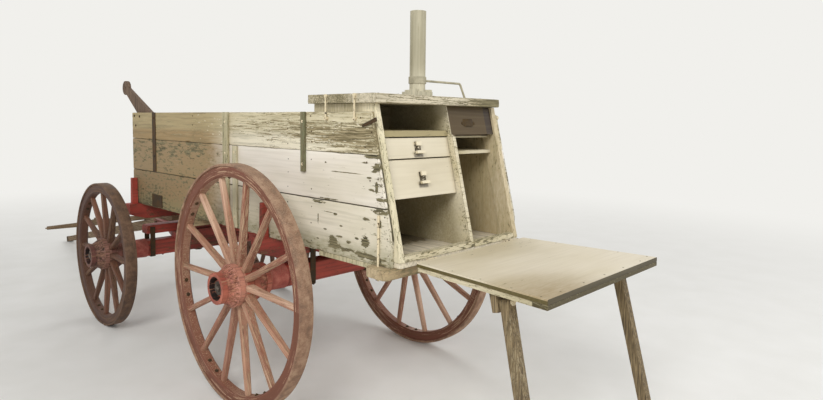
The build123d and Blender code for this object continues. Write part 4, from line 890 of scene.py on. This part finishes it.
# Domed bolts in the cleats, the straps and the dash bracket's foot
cleat_bolts = (
    (rear_x + 0.45, cleat_y, 8, (0.97, 1.21, 1.35, 1.54)), (rear_x + 0.342, cleat_y, 8, (0.97, 1.21, 1.36)),
    (rear_cleat_x, cleat_y, 8, (1.33, 1.55)), (rear_x + 1.515, side_y + 5.5 * mm, 7, (1.28, 1.56)),
)
sill_foot, sill_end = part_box("cross_sills")[0][2] + 0.5 * mm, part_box("cross_sills")[1][1]
for hand, side in both_sides:
    heads = [
        bolt_head((x, side * y, z), (0, side, 0), radius) for x, y, radius, heights in cleat_bolts for z in heights
    ]
    piece(f"{hand}_cleat_bolts", heads, box_iron)
    nuts = [
        square_nut((x, side * (sill_end - 0.022), sill_foot), down, 10, 0.5)
        for x in (rear_x - 0.95, rear_x + 0.9)
    ]
    piece(f"{hand}_sill_nuts", nuts, box_iron)
heads = [bolt_head((x, side_y + 1 * mm, z), (0, 1, 0), 9) for x, z in ((0.105, 1.5), (0.03, 1.57), (0.13, 1.575))]
piece("dash_foot_bolts", heads, dark_iron)

# Small screws and nails: countersunk screws of the table, nails of the box's face and top, pull screws
low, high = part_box("lid")
draw = Random(11)
places = []
for share in (0.06, 0.28, 0.52, 0.76, 0.97):
    for hinge_y, free_y in ((-0.455, -0.52), (0.365, 0.43)):
        y = hinge_y + (free_y - hinge_y) * share
        places.append((high[0] - 0.02 + (low[0] - high[0] + 0.04) * share, y + draw.uniform(-4, 4) * mm))
places += [(low[0] + 0.024, -0.4 + 0.18 * turn) for turn in range(5)]
screws = [turned(((4.2, 0), (4.2, 0.6), (3.2, 0.8)), (x, y, high[2] - 0.4 * mm), up, 10) for x, y in places]
piece("lid_screws", screws, batten_paint, "lid")
leaning = Vector((-1, 0, box_lean)).normalized()
nails = []
for side in (1, -1):
    for turn in range(9):
        z = 0.97 + 0.075 * turn + draw.uniform(-8, 8) * mm
        for y in (0.445, 0.432):
            if draw.random() < 0.7:
                nails.append(nail((face_x(z) - 0.5 * mm, side * y, z), leaning, 2.8))
piece("box_face_nails", nails, dark_iron)
low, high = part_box("top_board")
nails = []
for turn in range(8):
    y = low[1] + 0.03 + (high[1] - low[1] - 0.06) * turn / 7
    for x in (low[0] + 0.02, high[0] - 0.02):
        nails.append(nail((x + draw.uniform(-6, 6) * mm, y, high[2] - 0.8 * mm), up, 3.6))
piece("top_board_nails", nails, dark_iron)
for name in ("upper", "lower"):
    low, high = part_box(f"pull_{name}")
    z = (low[2] + high[2]) / 2
    x = plate_depth + box_lean * z - 0.4 * mm
    screws = [nail((x, y, z), leaning, 2.6) for y in (low[1] + 17 * mm, high[1] - 17 * mm)]
    piece(f"pull_{name}_screws", screws, dark_iron, f"drawer_{name}")

# Cup pull with round ears on the box's upper right panel
panel_depth = face_depth + 3.9 * mm
cup_left, cup_right, cup_top, cup_high = -0.176, -0.258, 1.573, 0.038
steps, turns = 12, 6
points = []
for station in range(steps + 1):
    share = station / steps
    bulge = 1 * mm + 7 * mm * (1 - (2 * share - 1) ** 4)
    # A quarter turn from the top to the open foot, then back into the panel
    for turn in range(turns + 2):
        angle = pi / 2 * min(turn, turns) / turns
        z = cup_top - cup_high * (1 - cos(angle))
        stands = bulge * sin(angle) if turn <= turns else -0.5 * mm
        points.append((panel_depth + box_lean * z - stands, cup_left + (cup_right - cup_left) * share, z))
shapes = [(points, skin(steps + 1, turns + 2))]
z = cup_top - 24 * mm
x = panel_depth + box_lean * z
for y in (cup_left + 5 * mm, cup_right - 5 * mm):
    shapes.append(turned(((10, -0.5), (10, 2), (8.5, 2.6)), (x, y, z), leaning, 16))
    shapes.append(nail((x - 2.6 * mm, y, z), leaning, 2.6))
piece("panel_pull", shapes, brown_iron)

# Ends of the table's side battens, up to the hinge
low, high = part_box("lid_battens")
hinge_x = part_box("lid")[1][0]
splay = 0.0907
ends = []
for inner_y, slope in ((0.348, -splay), (-0.483, splay)):
    points, faces = old_board(
        0, (1, inner_y, inner_y + 0.045), (2, low[2], high[2]), lambda y: (high[0], hinge_x - 7 * mm),
        lambda x, y: 0.6 * mm, 60, (0.5,) * 4, step=12 * mm, row=7 * mm,
    )
    ends.append(([(x, y + slope * (x - high[0]), z) for x, y, z in points], faces))
piece("table_batten_ends", ends, batten_paint, "lid")

# Turn button that holds the closed lid, on the left side
button_low, button_high = Vector((rear_x - 0.809, 0, 1.533)), Vector((rear_x - 0.904, 0, 1.564))
along = (button_high - button_low).normalized()
across = Vector((-along.z, 0, along.x))
points = []
for y in (side_y, side_y + 8 * mm):
    for share, half in ((0, -4), (0.25, -7), (1, -9), (1, 9), (0.25, 7), (0, 4)):
        points.append(Vector((0, y, 0)) + button_low.lerp(button_high, share) + across * half * mm)
piece("turn_button", [(points, skin(2, 6))], dark_iron, sharp=20)


# Floor, air and lamps: the floor fades into the air, which lights at half its seen strength
air = "F1F0EC"
ground, new, shader = blank("studio_floor_pale_matt", Roughness=0.9)
far = new("VectorMath", {0: new("TexCoord").outputs["Object"]}, operation="LENGTH").outputs["Value"]
fade = new("MapRange", {"Value": far, "From Min": 1.5, "From Max": 10.0}, interpolation_type="SMOOTHSTEP")
speckle = new("TexNoise", {"Vector": new("TexCoord").outputs["Object"], "Scale": 3.0})
tone = new("ValToRGB", {"Fac": speckle}, stops=[(0.3, "E8E7E2"), (0.7, "EEEDE9")])
connect(shader, Base_Color=tone)
glow = new("Emission", {"Color": air, "Strength": 1.0})
mixed = new("MixShader", {0: fade, 1: shader.outputs[0], 2: glow.outputs[0]})
connect(ground.node_tree.nodes["Material Output"], Surface=mixed)
disc = bmesh.new()
bmesh.ops.create_circle(disc, cap_ends=True, segments=96, radius=60.0)
floor_mesh = bpy.data.meshes.new("studio_floor")
disc.to_mesh(floor_mesh)
disc.free()
floor_mesh.materials.append(ground)
studio_floor = bpy.data.objects.new("studio_floor", floor_mesh)
bpy.context.scene.collection.objects.link(studio_floor)

world = bpy.data.worlds.new("studio_air")
world.use_nodes = True
bpy.context.scene.world = world
new = partial(add, world.node_tree)
rays = new("LightPath").outputs
seen = new("Math", {0: rays["Is Camera Ray"], 1: rays["Is Glossy Ray"]}, operation="MAXIMUM")
seen = new("Math", {0: seen, 1: rays["Is Transmission Ray"]}, operation="MAXIMUM")
soft = new("Background", {"Color": "FFFFFF", "Strength": 0.5})
wall = new("Background", {"Color": air, "Strength": 1.0})
mixed = new("MixShader", {0: seen, 1: soft, 2: wall})
connect(world.node_tree.nodes["World Output"], Surface=mixed)

aim = Vector((-1.6, 0.0, 0.8))
# Round lamps: name, place, diameter and watts
lamp_rows = (
    ("key_lamp", (-5.5, 5.5, 5.2), 3.5, 330),
    ("fill_lamp", (-8.0, -3.5, 3.6), 4.0, 150),
    ("far_lamp", (5.5, -5.0, 5.0), 4.0, 170),
)
for name, at, size, power in lamp_rows:
    lamp = bpy.data.lights.new(name, "AREA")
    lamp.shape = "DISK"
    lamp.size = size
    lamp.energy = power
    holder = bpy.data.objects.new(name, lamp)
    holder.location = at
    holder.rotation_euler = (aim - Vector(at)).to_track_quat("-Z", "Y").to_euler()
    bpy.context.scene.collection.objects.link(holder)

# Camera: low behind the wagon's left rear corner, looking forward and to the right
image_width = 823
focal_pixels = 590.9
rise_pixels = 35
eye = Vector((rear_x - 2.875, 2.298, 1.557))
ahead = Vector((0.6934, -0.71677, -0.07371)).normalized()
right = Vector((-0.71807, -0.69587, 0.01178)).normalized()
camera = bpy.data.objects.new("camera", bpy.data.cameras.new("camera"))
camera.data.sensor_width = 36.0
camera.data.lens = camera.data.sensor_width * focal_pixels / image_width
camera.data.shift_y = -rise_pixels / image_width
camera.matrix_world = Matrix((right, right.cross(ahead), -ahead)).transposed().to_4x4()
camera.matrix_world.translation = eye
bpy.context.scene.collection.objects.link(camera)
bpy.context.scene.camera = camera
bpy.context.scene.view_settings.view_transform = "Standard"
